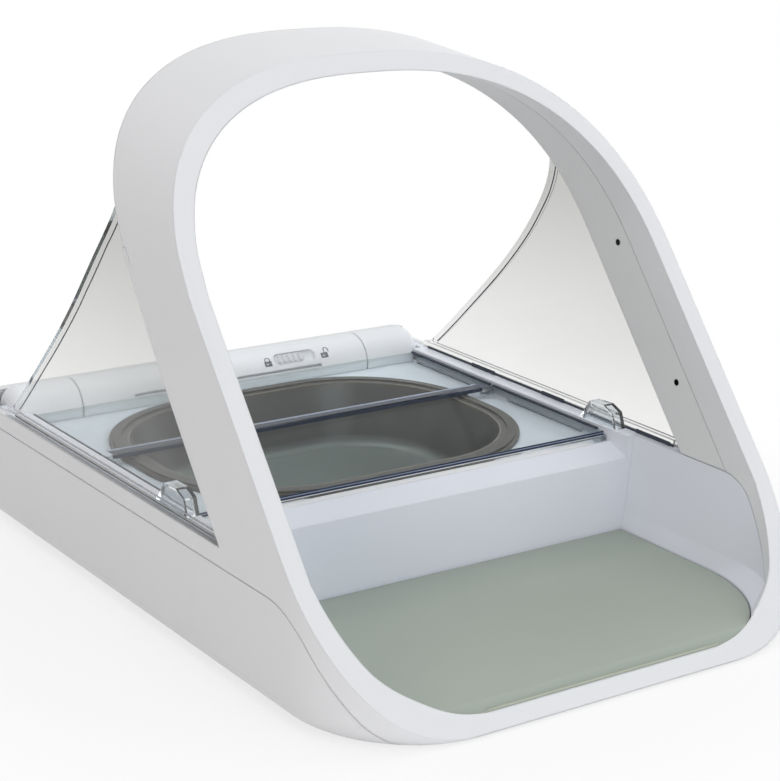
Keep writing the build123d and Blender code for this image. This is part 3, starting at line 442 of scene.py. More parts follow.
class Finish(Enum):
    """Every finish on the feeder, by the piece that shows it."""

    # Satin ABS from a spark-eroded mould: an even soft white without hot spots, cooler inside the tray and deck.
    SHELL = MouldedPlastic("white_abs_satin", "#EAEBED", "#E6E7E9", roughness=0.36)
    INNER = MouldedPlastic("white_abs_fine", "#E9ECF4", "#E5E8F0", roughness=0.34)
    LINER = MouldedPlastic("white_abs_liner", "#E9EAEB", "#E5E6E7", roughness=0.4)
    # ABS from a finer mould: the barrel a shade brighter than the shells, its slider a shade greyer.
    BARREL = MouldedPlastic("white_abs_barrel", "#F1F4F7", "#EDF0F3", roughness=0.34)
    SLIDER = MouldedPlastic("white_abs_slider", "#E4E6EA", "#E0E2E6", roughness=0.3)
    # Moulded polypropylene with a soft sheen: a warm dark rim and wall, and a greener floor; the floor is painted
    # lighter and the wall darker for how each catches the light.
    BOWL = ZonedPlastic("grey_polypropylene_bowl", floor="#747B78", wall="#474543", rim="#4E4741")
    # Painted highlight: one thin light line round the bowl's inner rim, for the light its polished lip catches.
    BEAD = MouldedPlastic("painted_highlight_rim_bead", "#9B958E", "#96908A", roughness=0.2)
    # Moulded ABS keys: a plain mid grey that stands off the white rear.
    BUTTON = MouldedPlastic("grey_abs_button", "#B9BCC2", "#B2B5BB", roughness=0.4)
    # Moulded acetal: creamy, slightly waxy white.
    GEAR = MouldedPlastic("acetal_gear", "#E7E3D6", "#DED9CA", roughness=0.45)
    # Lacquered board: a deep even green under a smooth coat.
    BOARD = MouldedPlastic("solder_mask_green", "#1E5B3A", "#1A5033", roughness=0.35)
    # Cast acrylic that passes only infrared: glassy black dots on the rim.
    BLACK = MouldedPlastic("black_acrylic", "#0B0B0D", "#0F0F12", roughness=0.15)
    # Shrink-wrapped cell jacket: a tight, shiny near-black film.
    CELL = MouldedPlastic("shrink_sleeve", "#2C2D33", "#33343A", roughness=0.25)
    # Pad-printed ink: flat grey, duller than the plastic that carries it.
    SYMBOL = MouldedPlastic("grey_pad_print", "#8E9297", "#888C92", roughness=0.5)
    # Painted shade and reflection: dark blue and slate stand in for the polished edges of clear polycarbonate, which
    # trap the light; dark blue where thick, slate where thin.
    EDGE = MouldedPlastic("painted_shade_edge_dark", "#343E55", "#2F394F", roughness=0.12)
    SLATE = MouldedPlastic("painted_shade_edge_slate", "#4B515C", "#454B56", roughness=0.2)
    # Clear polycarbonate: cool, almost untinted panels, warmer guards with painted shade that darkens them upwards,
    # slightly cloudy tabs.
    # At its real index of 1.58 it would mirror the white background so strongly from this low view that the
    # bowl under the lid would go pale, so panels and guards have lower ones.
    LID = ClearPlastic("clear_polycarbonate_lid", "#E6EAEA", roughness=0.02, ior=1.045)
    GUARD = ClearPlastic("clear_polycarbonate_guard", "#F1F1F0", roughness=0.04, ior=1.2, painted_shade_tint="#C4C4C2")
    TAB = ClearPlastic("clear_polycarbonate_tab", "#EEF1F3", roughness=0.08, mirror=0.3)
    # Painted highlights: a pale blue-grey line on the lid's polycarbonate lips, and a white line for the light caught
    # under the lid's front lip and along the riser's top.
    PALE = MouldedPlastic("painted_highlight_pale", "#A9B4C6", "#A2AEC1", roughness=0.3)
    GLINT = MouldedPlastic("painted_highlight_white", "#FBFCFD", "#F7F9FB", roughness=0.1)
    # Moulded silicone rubber: a matt brown ring at the bowl, a dusty sage mat and the mat's paler cut edge.
    SEAL = SoftRubber("silicone_seal_brown", "#5A5450", "#54504C", roughness=0.5)
    MAT = SoftRubber("silicone_mat_sage", "#A7B0A6", "#A2ABA1")
    MAT_EDGE = SoftRubber("silicone_mat_edge", "#BFC2B2", "#B9BCAC", roughness=0.6)
    # Moulded rubber: dull mid grey pads.
    FOOT = SoftRubber("rubber_foot", "#6A6C6E", "#626466")
    # Nickel-plated drawn steel: a bright, slightly streaked grey.
    STEEL = PlainMetal("nickel_plated_steel", "#B9BABC", roughness=0.3)
    # Enamelled copper wire: warm orange-brown with a soft shine.
    COPPER = PlainMetal("enamelled_copper", "#B0623A", roughness=0.35)

    def material(self) -> bpy.types.Material:
        """Return this finish's material, building it on first use."""
        return bpy.data.materials.get(self.value.name) or self.value.build()


# ----------------------------------------------------------------------------------------------- mesh helpers
def new_piece(
    name: str, mesh: bmesh.types.BMesh, finish: Finish, body: str, smooth: bool = True
) -> bpy.types.Object:
    """Turn a bmesh, drawn in millimetres in the frame's axes, into a dressed piece that rides a body.

    Args:
        name: Name of the piece.
        mesh: The bmesh; it is freed.
        finish: Its finish.
        body: Body of the frame that carries it.
        smooth: Whether its faces are shaded smooth.

    Returns:
        The new object.
    """
    bmesh.ops.recalc_face_normals(mesh, faces=mesh.faces[:])
    bmesh.ops.scale(mesh, vec=(MM, MM, MM), verts=mesh.verts[:])
    for face in mesh.faces:
        face.smooth = smooth
    data = bpy.data.meshes.new(name)
    mesh.to_mesh(data)
    mesh.free()
    piece = bpy.data.objects.new(name, data)
    bpy.context.scene.collection.objects.link(piece)
    data.materials.append(finish.material())
    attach(piece, body)
    LOG.info("piece %s in %s, %d faces, on %s", name, finish.value.name, len(data.polygons), body)
    return piece


def stack_rings(rings: Sequence[Sequence[Vector]], closed: bool = False) -> bmesh.types.BMesh:
    """Join rings of equally many points into a skin.

    Args:
        rings: The rings, in order.
        closed: True joins the last ring to the first; otherwise both are capped.

    Returns:
        The skin.
    """
    mesh = bmesh.new()
    loops = [[mesh.verts.new(point) for point in ring] for ring in rings]
    pairs = list(zip(loops, loops[1:] + loops[:1])) if closed else list(zip(loops, loops[1:]))
    for low, high in pairs:
        for i in range(len(low)):
            j = (i + 1) % len(low)
            mesh.faces.new((low[i], low[j], high[j], high[i]))
    if not closed:
        mesh.faces.new(loops[0])
        mesh.faces.new(loops[-1])
    return mesh


def sweep(
    path: Sequence[Vector], across: Vector, section: Sequence[tuple[float, float]], closed: bool = False
) -> bmesh.types.BMesh:
    """Sweep a section along a path.

    Args:
        path: Points of the path.
        across: Direction of the section's first axis, the same all along; the second is square to it and the path.
        section: Closed outline, as distances along the two axes.
        closed: Whether the path closes on itself.

    Returns:
        The swept skin.
    """
    rings = []
    last = len(path) - 1
    for i, point in enumerate(path):
        before = path[i - 1] if i > 0 or closed else point
        after = path[(i + 1) % len(path)] if i < last or closed else point
        ahead = (after - before).normalized()
        first = (across - across.project(ahead)).normalized()
        second = ahead.cross(first)
        rings.append([point + first * u + second * v for u, v in section])
    return stack_rings(rings, closed)


def pill(width: float, height: float, corner: float, steps: int = 4) -> list[tuple[float, float]]:
    """Outline of a rectangle with rounded corners, centred on zero.

    Args:
        width: Full size along the first axis.
        height: Full size along the second axis.
        corner: Radius of its corners.
        steps: Steps round one corner.

    Returns:
        Points of the outline.
    """
    outline = []
    for quarter in range(4):
        sign_u = (1, -1, -1, 1)[quarter]
        sign_v = (1, 1, -1, -1)[quarter]
        for step in range(steps + 1):
            angle = math.radians(90 * quarter + 90 * step / steps)
            outline.append(
                (
                    sign_u * (width / 2 - corner) + corner * math.cos(angle),
                    sign_v * (height / 2 - corner) + corner * math.sin(angle),
                )
            )
    return outline


def straight(start: Vector, end: Vector, steps: int = 12) -> list[Vector]:
    """Evenly spaced points from start to end."""
    return [start.lerp(end, k / steps) for k in range(steps + 1)]


def curve_through(points: Sequence[tuple[float, float]], count: int) -> list[tuple[float, float]]:
    """Smooth curve through points in a plane.

    Args:
        points: Points to pass through.
        count: Steps between two of them.

    Returns:
        Points of the curve.
    """
    ends = [points[0], *points, points[-1]]
    curve = []
    for a, b, c, d in zip(ends, ends[1:], ends[2:], ends[3:]):
        for step in range(count):
            t = step / count
            weights = (
                (-t + 2 * t**2 - t**3) / 2,
                (2 - 5 * t**2 + 3 * t**3) / 2,
                (t + 4 * t**2 - 3 * t**3) / 2,
                (-(t**2) + t**3) / 2,
            )
            curve.append(tuple(sum(w * p[k] for w, p in zip(weights, (a, b, c, d))) for k in (0, 1)))
    return curve + [tuple(points[-1])]


# ----------------------------------------------------------------------------------------------- sub-assemblies
# Places shared by several groups, in the frame's millimetres.
FRONT_Y = -155.0  # foremost point of the casing
BASE_Z = 1.0  # underside of the tub, above the feet
AXIS_Y = 137.5  # axis of the hinge barrel
AXIS_Z = 47.5
FOLD_Y = 57.5  # axis of the fold between the lid's panels
LID_FRONT_Y = -22.5  # front face of the lid's front panel
LID_TOP = 50.7  # upper face of the lid's panels
LEAN = math.tan(math.radians(39.0))  # how far the entrance plane leans back for its height


@dataclass
class SubAssembly:
    """A group of the frame's nodes with the finish of each, and the pieces that the group adds."""

    finishes: dict[str, Finish]

    def dress(self, nodes: dict[str, bpy.types.Object]) -> None:
        """Give each node of the group its finish.

        Args:
            nodes: All nodes of the frame by name.
        """
        for name, finish in self.finishes.items():
            mesh = nodes[name].data
            mesh.materials.clear()
            mesh.materials.append(finish.material())
            LOG.info("node %s in %s", name, finish.value.name)

    def build(self) -> None:
        """Add the group's own pieces; a group without any adds none."""


@dataclass
class Casing(SubAssembly):
    """White shells of the arch, tub, deck and underside, with what is fixed to them."""

    finishes: dict[str, Finish] = field(
        default_factory=lambda: {
            "upper_casing": Finish.SHELL,
            "lower_tub": Finish.SHELL,
            "deck_tray": Finish.INNER,
            "antenna_cover": Finish.LINER,
            "battery_door_left": Finish.SHELL,
            "battery_door_right": Finish.SHELL,
            "ir_windows": Finish.BLACK,
            "antenna_coil": Finish.COPPER,
            "case_screws": Finish.STEEL,
            "feet": Finish.FOOT,
        }
    )


@dataclass
class Sill(SubAssembly):
    """Smooth fairings at the entrance's two lower corners, where the rim's edge turns up from the mat."""

    finishes: dict[str, Finish] = field(default_factory=dict)
    # inner edge of the rim on the entrance plane: distance from the middle plane, height above the tub's underside
    edge: tuple[tuple[float, float], ...] = (
        (50.0, 5.35),
        (57.0, 5.75),
        (63.0, 6.5),
        (68.5, 7.75),
        (74.2, 9.85),
        (80.0, 12.75),
        (85.0, 15.6),
        (89.3, 18.4),
        (93.0, 21.5),
        (96.0, 24.7),
        (98.6, 28.2),
    )
    # how the plate turns from the rim's face into the opening: outward of the edge, and behind the entrance plane
    turn: tuple[tuple[float, float], ...] = ((2.6, -0.05), (0.35, -0.05), (0.1, 0.08), (0.0, 0.3))
    mat_top: float = 9.3
    stub: float = 0.05  # how far the plate runs back where the mat hides the wall, and where it shows
    reach: float = 2.5
    sink: float = 2.4
    slope_low: float = 1.5
    slope_high: float = 0.6
    slope_rise: float = 19.0
    # painted highlight: a white line along the top of the riser, under the lid's lip
    glint_half: float = 92.5
    glint_y: float = -25.1
    glint_z: float = 47.44
    glint_section: tuple[float, float, float, int] = (4.4, 0.1, 0.04, 1)

    def on_face(self, side: int, x: float, height: float, back: float) -> Vector:
        """Point of the entrance.

        Args:
            side: -1 for the left, 1 for the right.
            x: Distance from the middle plane.
            height: Above the tub's underside.
            back: Distance behind the entrance plane, along the frame's Y.

        Returns:
            The point, in the frame's millimetres.
        """
        return Vector((side * x, FRONT_Y + LEAN * height + back, BASE_Z + height))

    def fairing(self, side: int, word: str) -> None:
        """Build one fairing: a thin plate on the rim's face that runs back along the tray's wall and fades out.

        Args:
            side: -1 for the left, 1 for the right.
            word: Name of the side.
        """
        curve = curve_through(self.edge, 4)
        mesh = bmesh.new()
        rows = []
        for i, (x, height) in enumerate(curve):
            x0, z0 = curve[max(i - 1, 0)]
            x1, z1 = curve[min(i + 1, len(curve) - 1)]
            length = math.hypot(x1 - x0, z1 - z0)
            out_x, out_z = (z1 - z0) / length, -(x1 - x0) / length
            wall = height > self.mat_top
            deep = self.reach if wall else self.stub
            share = max(0.0, (height - self.mat_top) / self.slope_rise)
            slope = self.slope_low + (self.slope_high - self.slope_low) * share
            row = [self.on_face(side, x + out_x * out, height + out_z * out, back) for out, back in self.turn]
            for k in range(1, 7):
                t = k / 6
                slip = deep * t * slope + self.sink * t * t if wall else 0.0
                row.append(self.on_face(side, x + slip, height, self.turn[-1][1] + deep * t))
            rows.append([mesh.verts.new(point) for point in row])
        for low, high in zip(rows, rows[1:]):
            for k in range(len(low) - 1):
                mesh.faces.new((low[k], low[k + 1], high[k + 1], high[k]))
        new_piece(f"rim_fairing_{word}", mesh, Finish.SHELL, "base")

    def build(self) -> None:
        """Build both fairings and the painted-highlight line along the riser's top."""
        self.fairing(-1, "left")
        self.fairing(1, "right")
        path = straight(*(Vector((end * self.glint_half, self.glint_y, self.glint_z)) for end in (-1, 1)))
        glint = sweep(path, Vector((0, 1, 0)), pill(*self.glint_section))
        new_piece("sill_glint", glint, Finish.GLINT, "base", smooth=False)


@dataclass
class Controls(SubAssembly):
    """Push-buttons at the rear, and the board, sounder and batteries behind them."""

    finishes: dict[str, Finish] = field(
        default_factory=lambda: {
            "button_training": Finish.BUTTON,
            "button_lid": Finish.BUTTON,
            "button_add_pet": Finish.BUTTON,
            "main_board": Finish.BOARD,
            "sounder": Finish.BLACK,
            "battery_cells": Finish.CELL,
            "battery_contacts": Finish.STEEL,
        }
    )


@dataclass
class TrayMat(SubAssembly):
    """Soft mat on the tray's floor; its modelled form stands for the plain solid."""

    finishes: dict[str, Finish] = field(default_factory=lambda: {"mat": Finish.MAT})
    half: float = 101.6
    corner: float = 65.0
    corner_y: float = 61.2
    rear_y: float = 116.6
    low: float = 5.5
    top: float = 9.5
    edge: float = 0.9
    face_gap: float = 0.4
    foot_draft: float = 0.3
    crown: float = 0.25
    # rings of the crowned top: share of the crown left to rise, and how far in from the mat's side
    dome: tuple[tuple[float, float], ...] = ((0.6, 3.0), (0.25, 8.0), (0.0, 20.0))
    # pale line along the mat's cut front edge
    bead_half: float = 56.0
    bead_height: float = 6.3
    bead_back: float = 0.2
    bead_section: tuple[float, float, float] = (0.3, 0.7, 0.1)

    def outline(self, height: float, inset: float) -> list[Vector]:
        """One ring of the mat: from the rear right corner round the front to the rear left one.

        Args:
            height: Above the tub's underside.
            inset: How far the ring is drawn in from the mat's side.

        Returns:
            Points of the ring.
        """
        half = self.half - inset
        radius = self.corner - inset
        cut = LEAN * height + self.face_gap + inset
        stop = math.acos(min(1.0, (self.corner_y - cut) / radius))
        right = [(half, self.rear_y - inset), (half, (self.rear_y + self.corner_y) / 2)]
        for step in range(25):
            angle = math.pi / 2 - (math.pi / 2 - stop) * step / 24
            right.append((half - radius + radius * math.sin(angle), self.corner_y - radius * math.cos(angle)))
        across = [(right[-1][0] * (1 - step / 6), right[-1][1]) for step in range(1, 12)]
        left = [(-x, y) for x, y in reversed(right)]
        return [Vector((x, FRONT_Y + y, BASE_Z + height)) for x, y in [*right, *across, *left]]

    def build(self) -> None:
        """Build the mat with softly rounded edges and a barely crowned top."""
        rings = [self.outline(self.low, self.foot_draft), self.outline(self.low + self.foot_draft, 0.0)]
        shoulder = self.top - self.crown - self.edge
        for step in range(5):
            angle = math.radians(90 * step / 4)
            rings.append(self.outline(shoulder + self.edge * math.sin(angle), self.edge * (1 - math.cos(angle))))
        rings += [self.outline(self.top - self.crown * share, inset) for share, inset in self.dome]
        mat = new_piece("soft_mat", stack_rings(rings), Finish.MAT, "mat_body")
        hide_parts("mat")
        y = FRONT_Y + LEAN * self.bead_height + self.bead_back
        path = straight(*(Vector((end * self.bead_half, y, BASE_Z + self.bead_height)) for end in (-1, 1)))
        bead = sweep(path, Vector((0, 1, 0)), pill(*self.bead_section))
        new_piece("mat_front_bead", bead, Finish.MAT_EDGE, "mat_body")


@dataclass
class Bowl(SubAssembly):
    """Food bowl with the seal on its flange and a fine bead round its inner rim, coloured as a painted highlight."""

    finishes: dict[str, Finish] = field(
        default_factory=lambda: {"food_bowl": Finish.BOWL, "bowl_seal": Finish.SEAL}
    )
    middle_y: float = 50.5
    half_x: float = 80.9
    half_y: float = 60.9
    corner: float = 51.4
    corner_steps: int = 14
    bead_z: float = 46.35
    bead_section: tuple[float, float, float] = (0.5, 0.8, 0.2)

    def build(self) -> None:
        """Lay the bead, a painted highlight, along the inner rim."""
        outline = pill(2 * self.half_x, 2 * self.half_y, self.corner, self.corner_steps)
        path = [Vector((x, self.middle_y + y, self.bead_z)) for x, y in outline]
        new_piece("bowl_painted_highlight_bead", sweep(path, Vector((0, 0, 1)), pill(*self.bead_section), True), Finish.BEAD, "base")


@dataclass(frozen=True)
class Strip:
    """One straight strip across the lid, in the frame's millimetres."""

    name: str
    y: float
    z: float
    wide: float
    high: float
    corner: float
    finish: Finish
    body: str
    half: float
    steps: int = 4

    def build(self) -> None:
        """Build the strip."""
        path = straight(Vector((-self.half, self.y, self.z)), Vector((self.half, self.y, self.z)), 8)
        mesh = sweep(path, Vector((0, 1, 0)), pill(self.wide, self.high, self.corner, self.steps))
        new_piece(self.name, mesh, self.finish, self.body, smooth=False)


@dataclass
class Lid(SubAssembly):
    """Two clear panels of the folding lid, with strips and ribs in painted shade and painted highlight where its
    clear edges show as dark and light lines.
    """

    finishes: dict[str, Finish] = field(
        default_factory=lambda: {
            "lid_front_panel": Finish.LID,
            "lid_rear_panel": Finish.LID,
            "fold_pins": Finish.STEEL,
        }
    )
    # four strips down the lid's front lip, and three at the fold: painted shade in dark blue and slate, painted
    # highlights in pale blue-grey and white
    strips: tuple[Strip, ...] = (
        Strip("lid_front_upper_edge", LID_FRONT_Y - 0.25, 50.45, 0.5, 0.6, 0.2, Finish.EDGE, "lid_front", 102.2),
        Strip("lid_front_painted_highlight", LID_FRONT_Y - 0.3, 49.95, 0.5, 0.4, 0.15, Finish.PALE, "lid_front", 102.2),
        Strip("lid_front_lower_edge", LID_FRONT_Y - 0.25, 49.3, 0.5, 0.9, 0.2, Finish.EDGE, "lid_front", 102.2),
        Strip("lid_front_painted_glint", LID_FRONT_Y - 0.3, 48.72, 0.5, 0.36, 0.12, Finish.GLINT, "lid_front", 102.2),
        Strip("fold_strip", FOLD_Y + 0.1, 49.2, 0.5, 2.6, 0.1, Finish.EDGE, "lid_rear", 96.0),
        Strip("fold_line", FOLD_Y + 2.6, 50.75, 4.0, 0.12, 0.05, Finish.SLATE, "lid_rear", 96.0, 1),
        Strip("fold_painted_highlight", FOLD_Y + 5.5, 50.76, 1.6, 0.14, 0.06, Finish.PALE, "lid_rear", 96.0, 1),
    )
    # ribs in painted shadow along both side edges of each panel, for the dark gap beside them: body, word of the
    # name, first and last place along Y
    ribs: tuple[tuple[str, str, float, float], ...] = (
        ("lid_front", "front", LID_FRONT_Y + 3.0, FOLD_Y - 1.0),
        ("lid_rear", "rear", FOLD_Y + 1.0, AXIS_Y - 15.0),
    )
    rib_x: float = 101.4
    rib_z: float = LID_TOP + 0.5
    rib_section: tuple[float, float, float] = (1.2, 1.1, 0.3)

    def build(self) -> None:
        """Build the painted strips across the lid and the painted-shadow ribs along its side edges."""
        for strip in self.strips:
            strip.build()
        for side, word in ((-1, "left"), (1, "right")):
            for body, part, first, last in self.ribs:
                path = straight(*(Vector((side * self.rib_x, y, self.rib_z)) for y in (first, last)), 8)
                rib = sweep(path, Vector((1, 0, 0)), pill(*self.rib_section))
                new_piece(f"lid_side_shadow_line_{word}_{part}", rib, Finish.SLATE, body, smooth=False)


@dataclass
class Barrel(SubAssembly):
    """Hinge barrel with its fixed ends, the lock slider and the two padlock signs beside it."""

    finishes: dict[str, Finish] = field(
        default_factory=lambda: {
            "hinge_barrel": Finish.BARREL,
            "barrel_end_left": Finish.BARREL,
            "barrel_end_right": Finish.BARREL,
            "barrel_hub_left": Finish.SHELL,
            "barrel_hub_right": Finish.SHELL,
            "lock_slider": Finish.SLIDER,
            "barrel_gear": Finish.GEAR,
            "drive_gear": Finish.GEAR,
            "gear_motor": Finish.STEEL,
        }
    )
    radius: float = 13.0
    sign_angle: float = 42.0
    closed_x: float = 21.2
    open_x: float = 52.8
    print_gap: float = 0.01
    print_thick: float = 0.05
    # padlock: its case, how far the case hangs under the signs' line, and its shackle
    case: tuple[float, float, float] = (3.9, 2.7, 0.35)
    case_drop: float = 0.9
    shackle_outer: float = 1.45
    shackle_inner: float = 0.95
    shackle_foot: float = -0.2
    shackle_middle: float = 1.1
    open_lift: float = 0.9
    open_shift: float = 1.6

    def on_barrel(self, x: float, rise: float, out: float) -> Vector:
        """Point on the barrel.

        Args:
            x: Distance along the barrel.
            rise: Distance round the barrel from the signs' line.
            out: Distance above its face.

        Returns:
            The point, in the frame's millimetres.
        """
        angle = math.radians(self.sign_angle) + rise / self.radius
        reach = self.radius + out
        return Vector((x, AXIS_Y - reach * math.cos(angle), AXIS_Z + reach * math.sin(angle)))

    def sign(self, name: str, at: float, outlines: Sequence[Sequence[tuple[float, float]]]) -> None:
        """Print flat outlines on the barrel.

        Args:
            name: Name of the piece.
            at: Middle of the sign, along the barrel.
            outlines: Closed outlines, as distance along and rise round the barrel.
        """
        mesh = bmesh.new()
        for outline in outlines:
            loops = [
                [mesh.verts.new(self.on_barrel(at + u, v, out)) for u, v in outline]
                for out in (self.print_gap, self.print_gap + self.print_thick)
            ]
            for i in range(len(outline)):
                j = (i + 1) % len(outline)
                mesh.faces.new((loops[0][i], loops[0][j], loops[1][j], loops[1][i]))
            mesh.faces.new(loops[0])
            mesh.faces.new(loops[1])
        new_piece(name, mesh, Finish.SYMBOL, "lid_rear", smooth=False)

    def padlock(self, lifted: bool) -> list[list[tuple[float, float]]]:
        """Outlines of a padlock: its case, and its shackle, closed or swung up on one side.

        Args:
            lifted: Whether the shackle is swung up.

        Returns:
            The two outlines.
        """
        case = [(u, v - self.case_drop) for u, v in pill(*self.case)]
        outer, inner, foot = self.shackle_outer, self.shackle_inner, self.shackle_foot
        lift, shift = (self.open_lift, self.open_shift) if lifted else (0.0, 0.0)
        top = self.shackle_middle + lift
        arc = [math.radians(180 * k / 10) for k in range(11)]
        shackle = [(shift + outer, foot + lift)]
        shackle += [(shift + outer * math.cos(a), top + outer * math.sin(a)) for a in arc]
        shackle += [(shift - outer, foot), (shift - inner, foot)]
        shackle += [(shift + inner * math.cos(a), top + inner * math.sin(a)) for a in reversed(arc)]
        shackle += [(shift + inner, foot + lift)]
        return [case, shackle]

    def build(self) -> None:
        """Print the closed and the open padlock."""
        self.sign("sign_locked", self.closed_x, self.padlock(False))
        self.sign("sign_unlocked", self.open_x, self.padlock(True))


@dataclass
class Wings(SubAssembly):
    """Clear side wings and runner guards, with a line of painted shade inside each wing's thick rear edge and lines
    of painted shade along the rails.
    """

    finishes: dict[str, Finish] = field(
        default_factory=lambda: {
            "wing_left": Finish.GUARD,
            "wing_right": Finish.GUARD,
            "runner_guard_left": Finish.TAB,
            "runner_guard_right": Finish.TAB,
        }
    )
    bow: tuple[tuple[float, float], ...] = (
        (112.3, 51.3),
        (112.9, 75.0),
        (113.2, 100.0),
        (113.0, 125.0),
        (111.4, 145.0),
        (108.4, 160.0),
        (106.0, 168.5),
    )
    rear_edge: tuple[tuple[float, float], ...] = (
        (280.5, 51.3),
        (269.5, 60.5),
        (248.6, 80.0),
        (227.9, 100.0),
        (209.6, 120.0),
        (194.6, 140.0),
        (185.6, 155.0),
        (181.6, 167.0),
    )
    # painted shade line inside each thick edge: in from the edge, in from the bow, its heights and section
    line_inset: float = 3.9
    line_sink: float = 1.05
    line_low: float = 54.8
    line_high: float = 164.0
    line_section: tuple[float, float, float, int] = (0.12, 0.7, 0.05, 2)
    # slate lines of painted shade at the rails: name, distance from the middle plane, height, first and last Y,
    # width, height
    rails: tuple[tuple[str, float, float, float, float, float, float], ...] = (
        ("foot_line", 109.75, 53.1, -60.0, 121.0, 0.3, 1.1),
        ("foot_mark_front", 109.6, 53.4, -58.0, -36.0, 0.45, 1.9),
        ("foot_mark_middle", 109.6, 53.4, 14.0, 30.0, 0.45, 1.9),
        ("foot_mark_rear", 109.6, 53.4, 66.0, 84.0, 0.45, 1.9),
        ("inner_line", 103.45, 51.9, -20.0, 118.0, 0.3, 0.6),
    )
    rail_corner: float = 0.3  # corner radius as a share of the line's smaller size

    def bow_at(self, height: float) -> float:
        """Distance of the wing from the middle plane.

        Args:
            height: Above the tub's underside.

        Returns:
            The distance.
        """
        for (x0, z0), (x1, z1) in zip(self.bow, self.bow[1:]):
            if height <= z1:
                return x0 + (x1 - x0) * (height - z0) / (z1 - z0)
        return self.bow[-1][0]

    def rail_shade_lines(self, side: int, word: str) -> None:
        """Lay the slate lines of painted shade beside one wing: one along its foot, one inside, and on the right
        three short ones.

        Args:
            side: -1 for the left, 1 for the right.
            word: Name of the side.
        """
        for part, x, z, first, last, thick, high in self.rails if side > 0 else (self.rails[0], self.rails[-1]):
            path = straight(*(Vector((side * x, y, z)) for y in (first, last)))
            mesh = sweep(path, Vector((1, 0, 0)), pill(thick, high, min(thick, high) * self.rail_corner, 1))
            new_piece(f"rail_{part}_{word}", mesh, Finish.SLATE, "base", smooth=False)

    def build(self) -> None:
        """Lay the rails' painted shade lines, and the painted shade line inside each wing's thick rear edge."""
        self.rail_shade_lines(-1, "left")
        self.rail_shade_lines(1, "right")
        curve = curve_through(self.rear_edge, 6)
        for side, word in ((-1, "left"), (1, "right")):
            path = [
                Vector((side * (self.bow_at(z) - self.line_sink), FRONT_Y + y - self.line_inset, BASE_Z + z))
                for y, z in curve
                if self.line_low < z < self.line_high
            ]
            mesh = sweep(path, Vector((1, 0, 0)), pill(*self.line_section))
            new_piece(f"wing_shade_line_{word}", mesh, Finish.EDGE, "base")


# ----------------------------------------------------------------------------------------------- studio
@dataclass(frozen=True)
class Camera:
    """Camera of the photograph, solved from its edges: place in the frame's millimetres, angles in degrees."""

    place_mm: tuple[float, float, float] = (-474.7, -687.5, 331.6)
    azimuth: float = 34.81
    elevation: float = 16.82
    roll: float = 1.31
    focal_pixels: float = 2088.0
    longest_side_pixels: float = 781.0
    sensor_mm: float = 36.0

    def build(self) -> bpy.types.Object:
        """Make the camera and give it to the scene.

        Returns:
            The camera.
        """
        azimuth, elevation, roll = (math.radians(a) for a in (self.azimuth, self.elevation, self.roll))
        level = math.cos(elevation)
        ahead = Vector((math.sin(azimuth) * level, math.cos(azimuth) * level, -math.sin(elevation)))
        right = ahead.cross(Vector((0, 0, 1))).normalized()
        up = right.cross(ahead)
        turned_right = math.cos(roll) * right + math.sin(roll) * up
        turned_up = -math.sin(roll) * right + math.cos(roll) * up
        data = bpy.data.cameras.new("camera")
        data.sensor_width = self.sensor_mm
        data.lens = self.focal_pixels / self.longest_side_pixels * self.sensor_mm
        data.clip_start = 0.01
        camera = bpy.data.objects.new("camera", data)
        axes = Matrix((turned_right, turned_up, -ahead)).transposed()
        camera.matrix_world = Matrix.Translation(Vector(self.place_mm) * MM) @ axes.to_4x4()
        bpy.context.scene.collection.objects.link(camera)
        bpy.context.scene.camera = camera
        return camera


@dataclass(frozen=True)
class Lamp:
    """One soft area lamp, aimed at a point; places and sizes are in metres."""

    name: str
    place: tuple[float, float, float]
    aim: tuple[float, float, float]
    size: tuple[float, float]
    watts: float
    colour: str = "#FFFFFF"

    def build(self) -> bpy.types.Object:
        """Make the lamp.

        Returns:
            The lamp.
        """
        data = bpy.data.lights.new(self.name, "AREA")
        data.shape = "RECTANGLE"
        data.size, data.size_y = self.size
        data.energy = self.watts
        data.color = linear(self.colour)[:3]
        lamp = bpy.data.objects.new(self.name, data)
        lamp.location = self.place
        lamp.rotation_euler = (Vector(self.aim) - Vector(self.place)).to_track_quat("-Z", "Y").to_euler()
        bpy.context.scene.collection.objects.link(lamp)
        return lamp


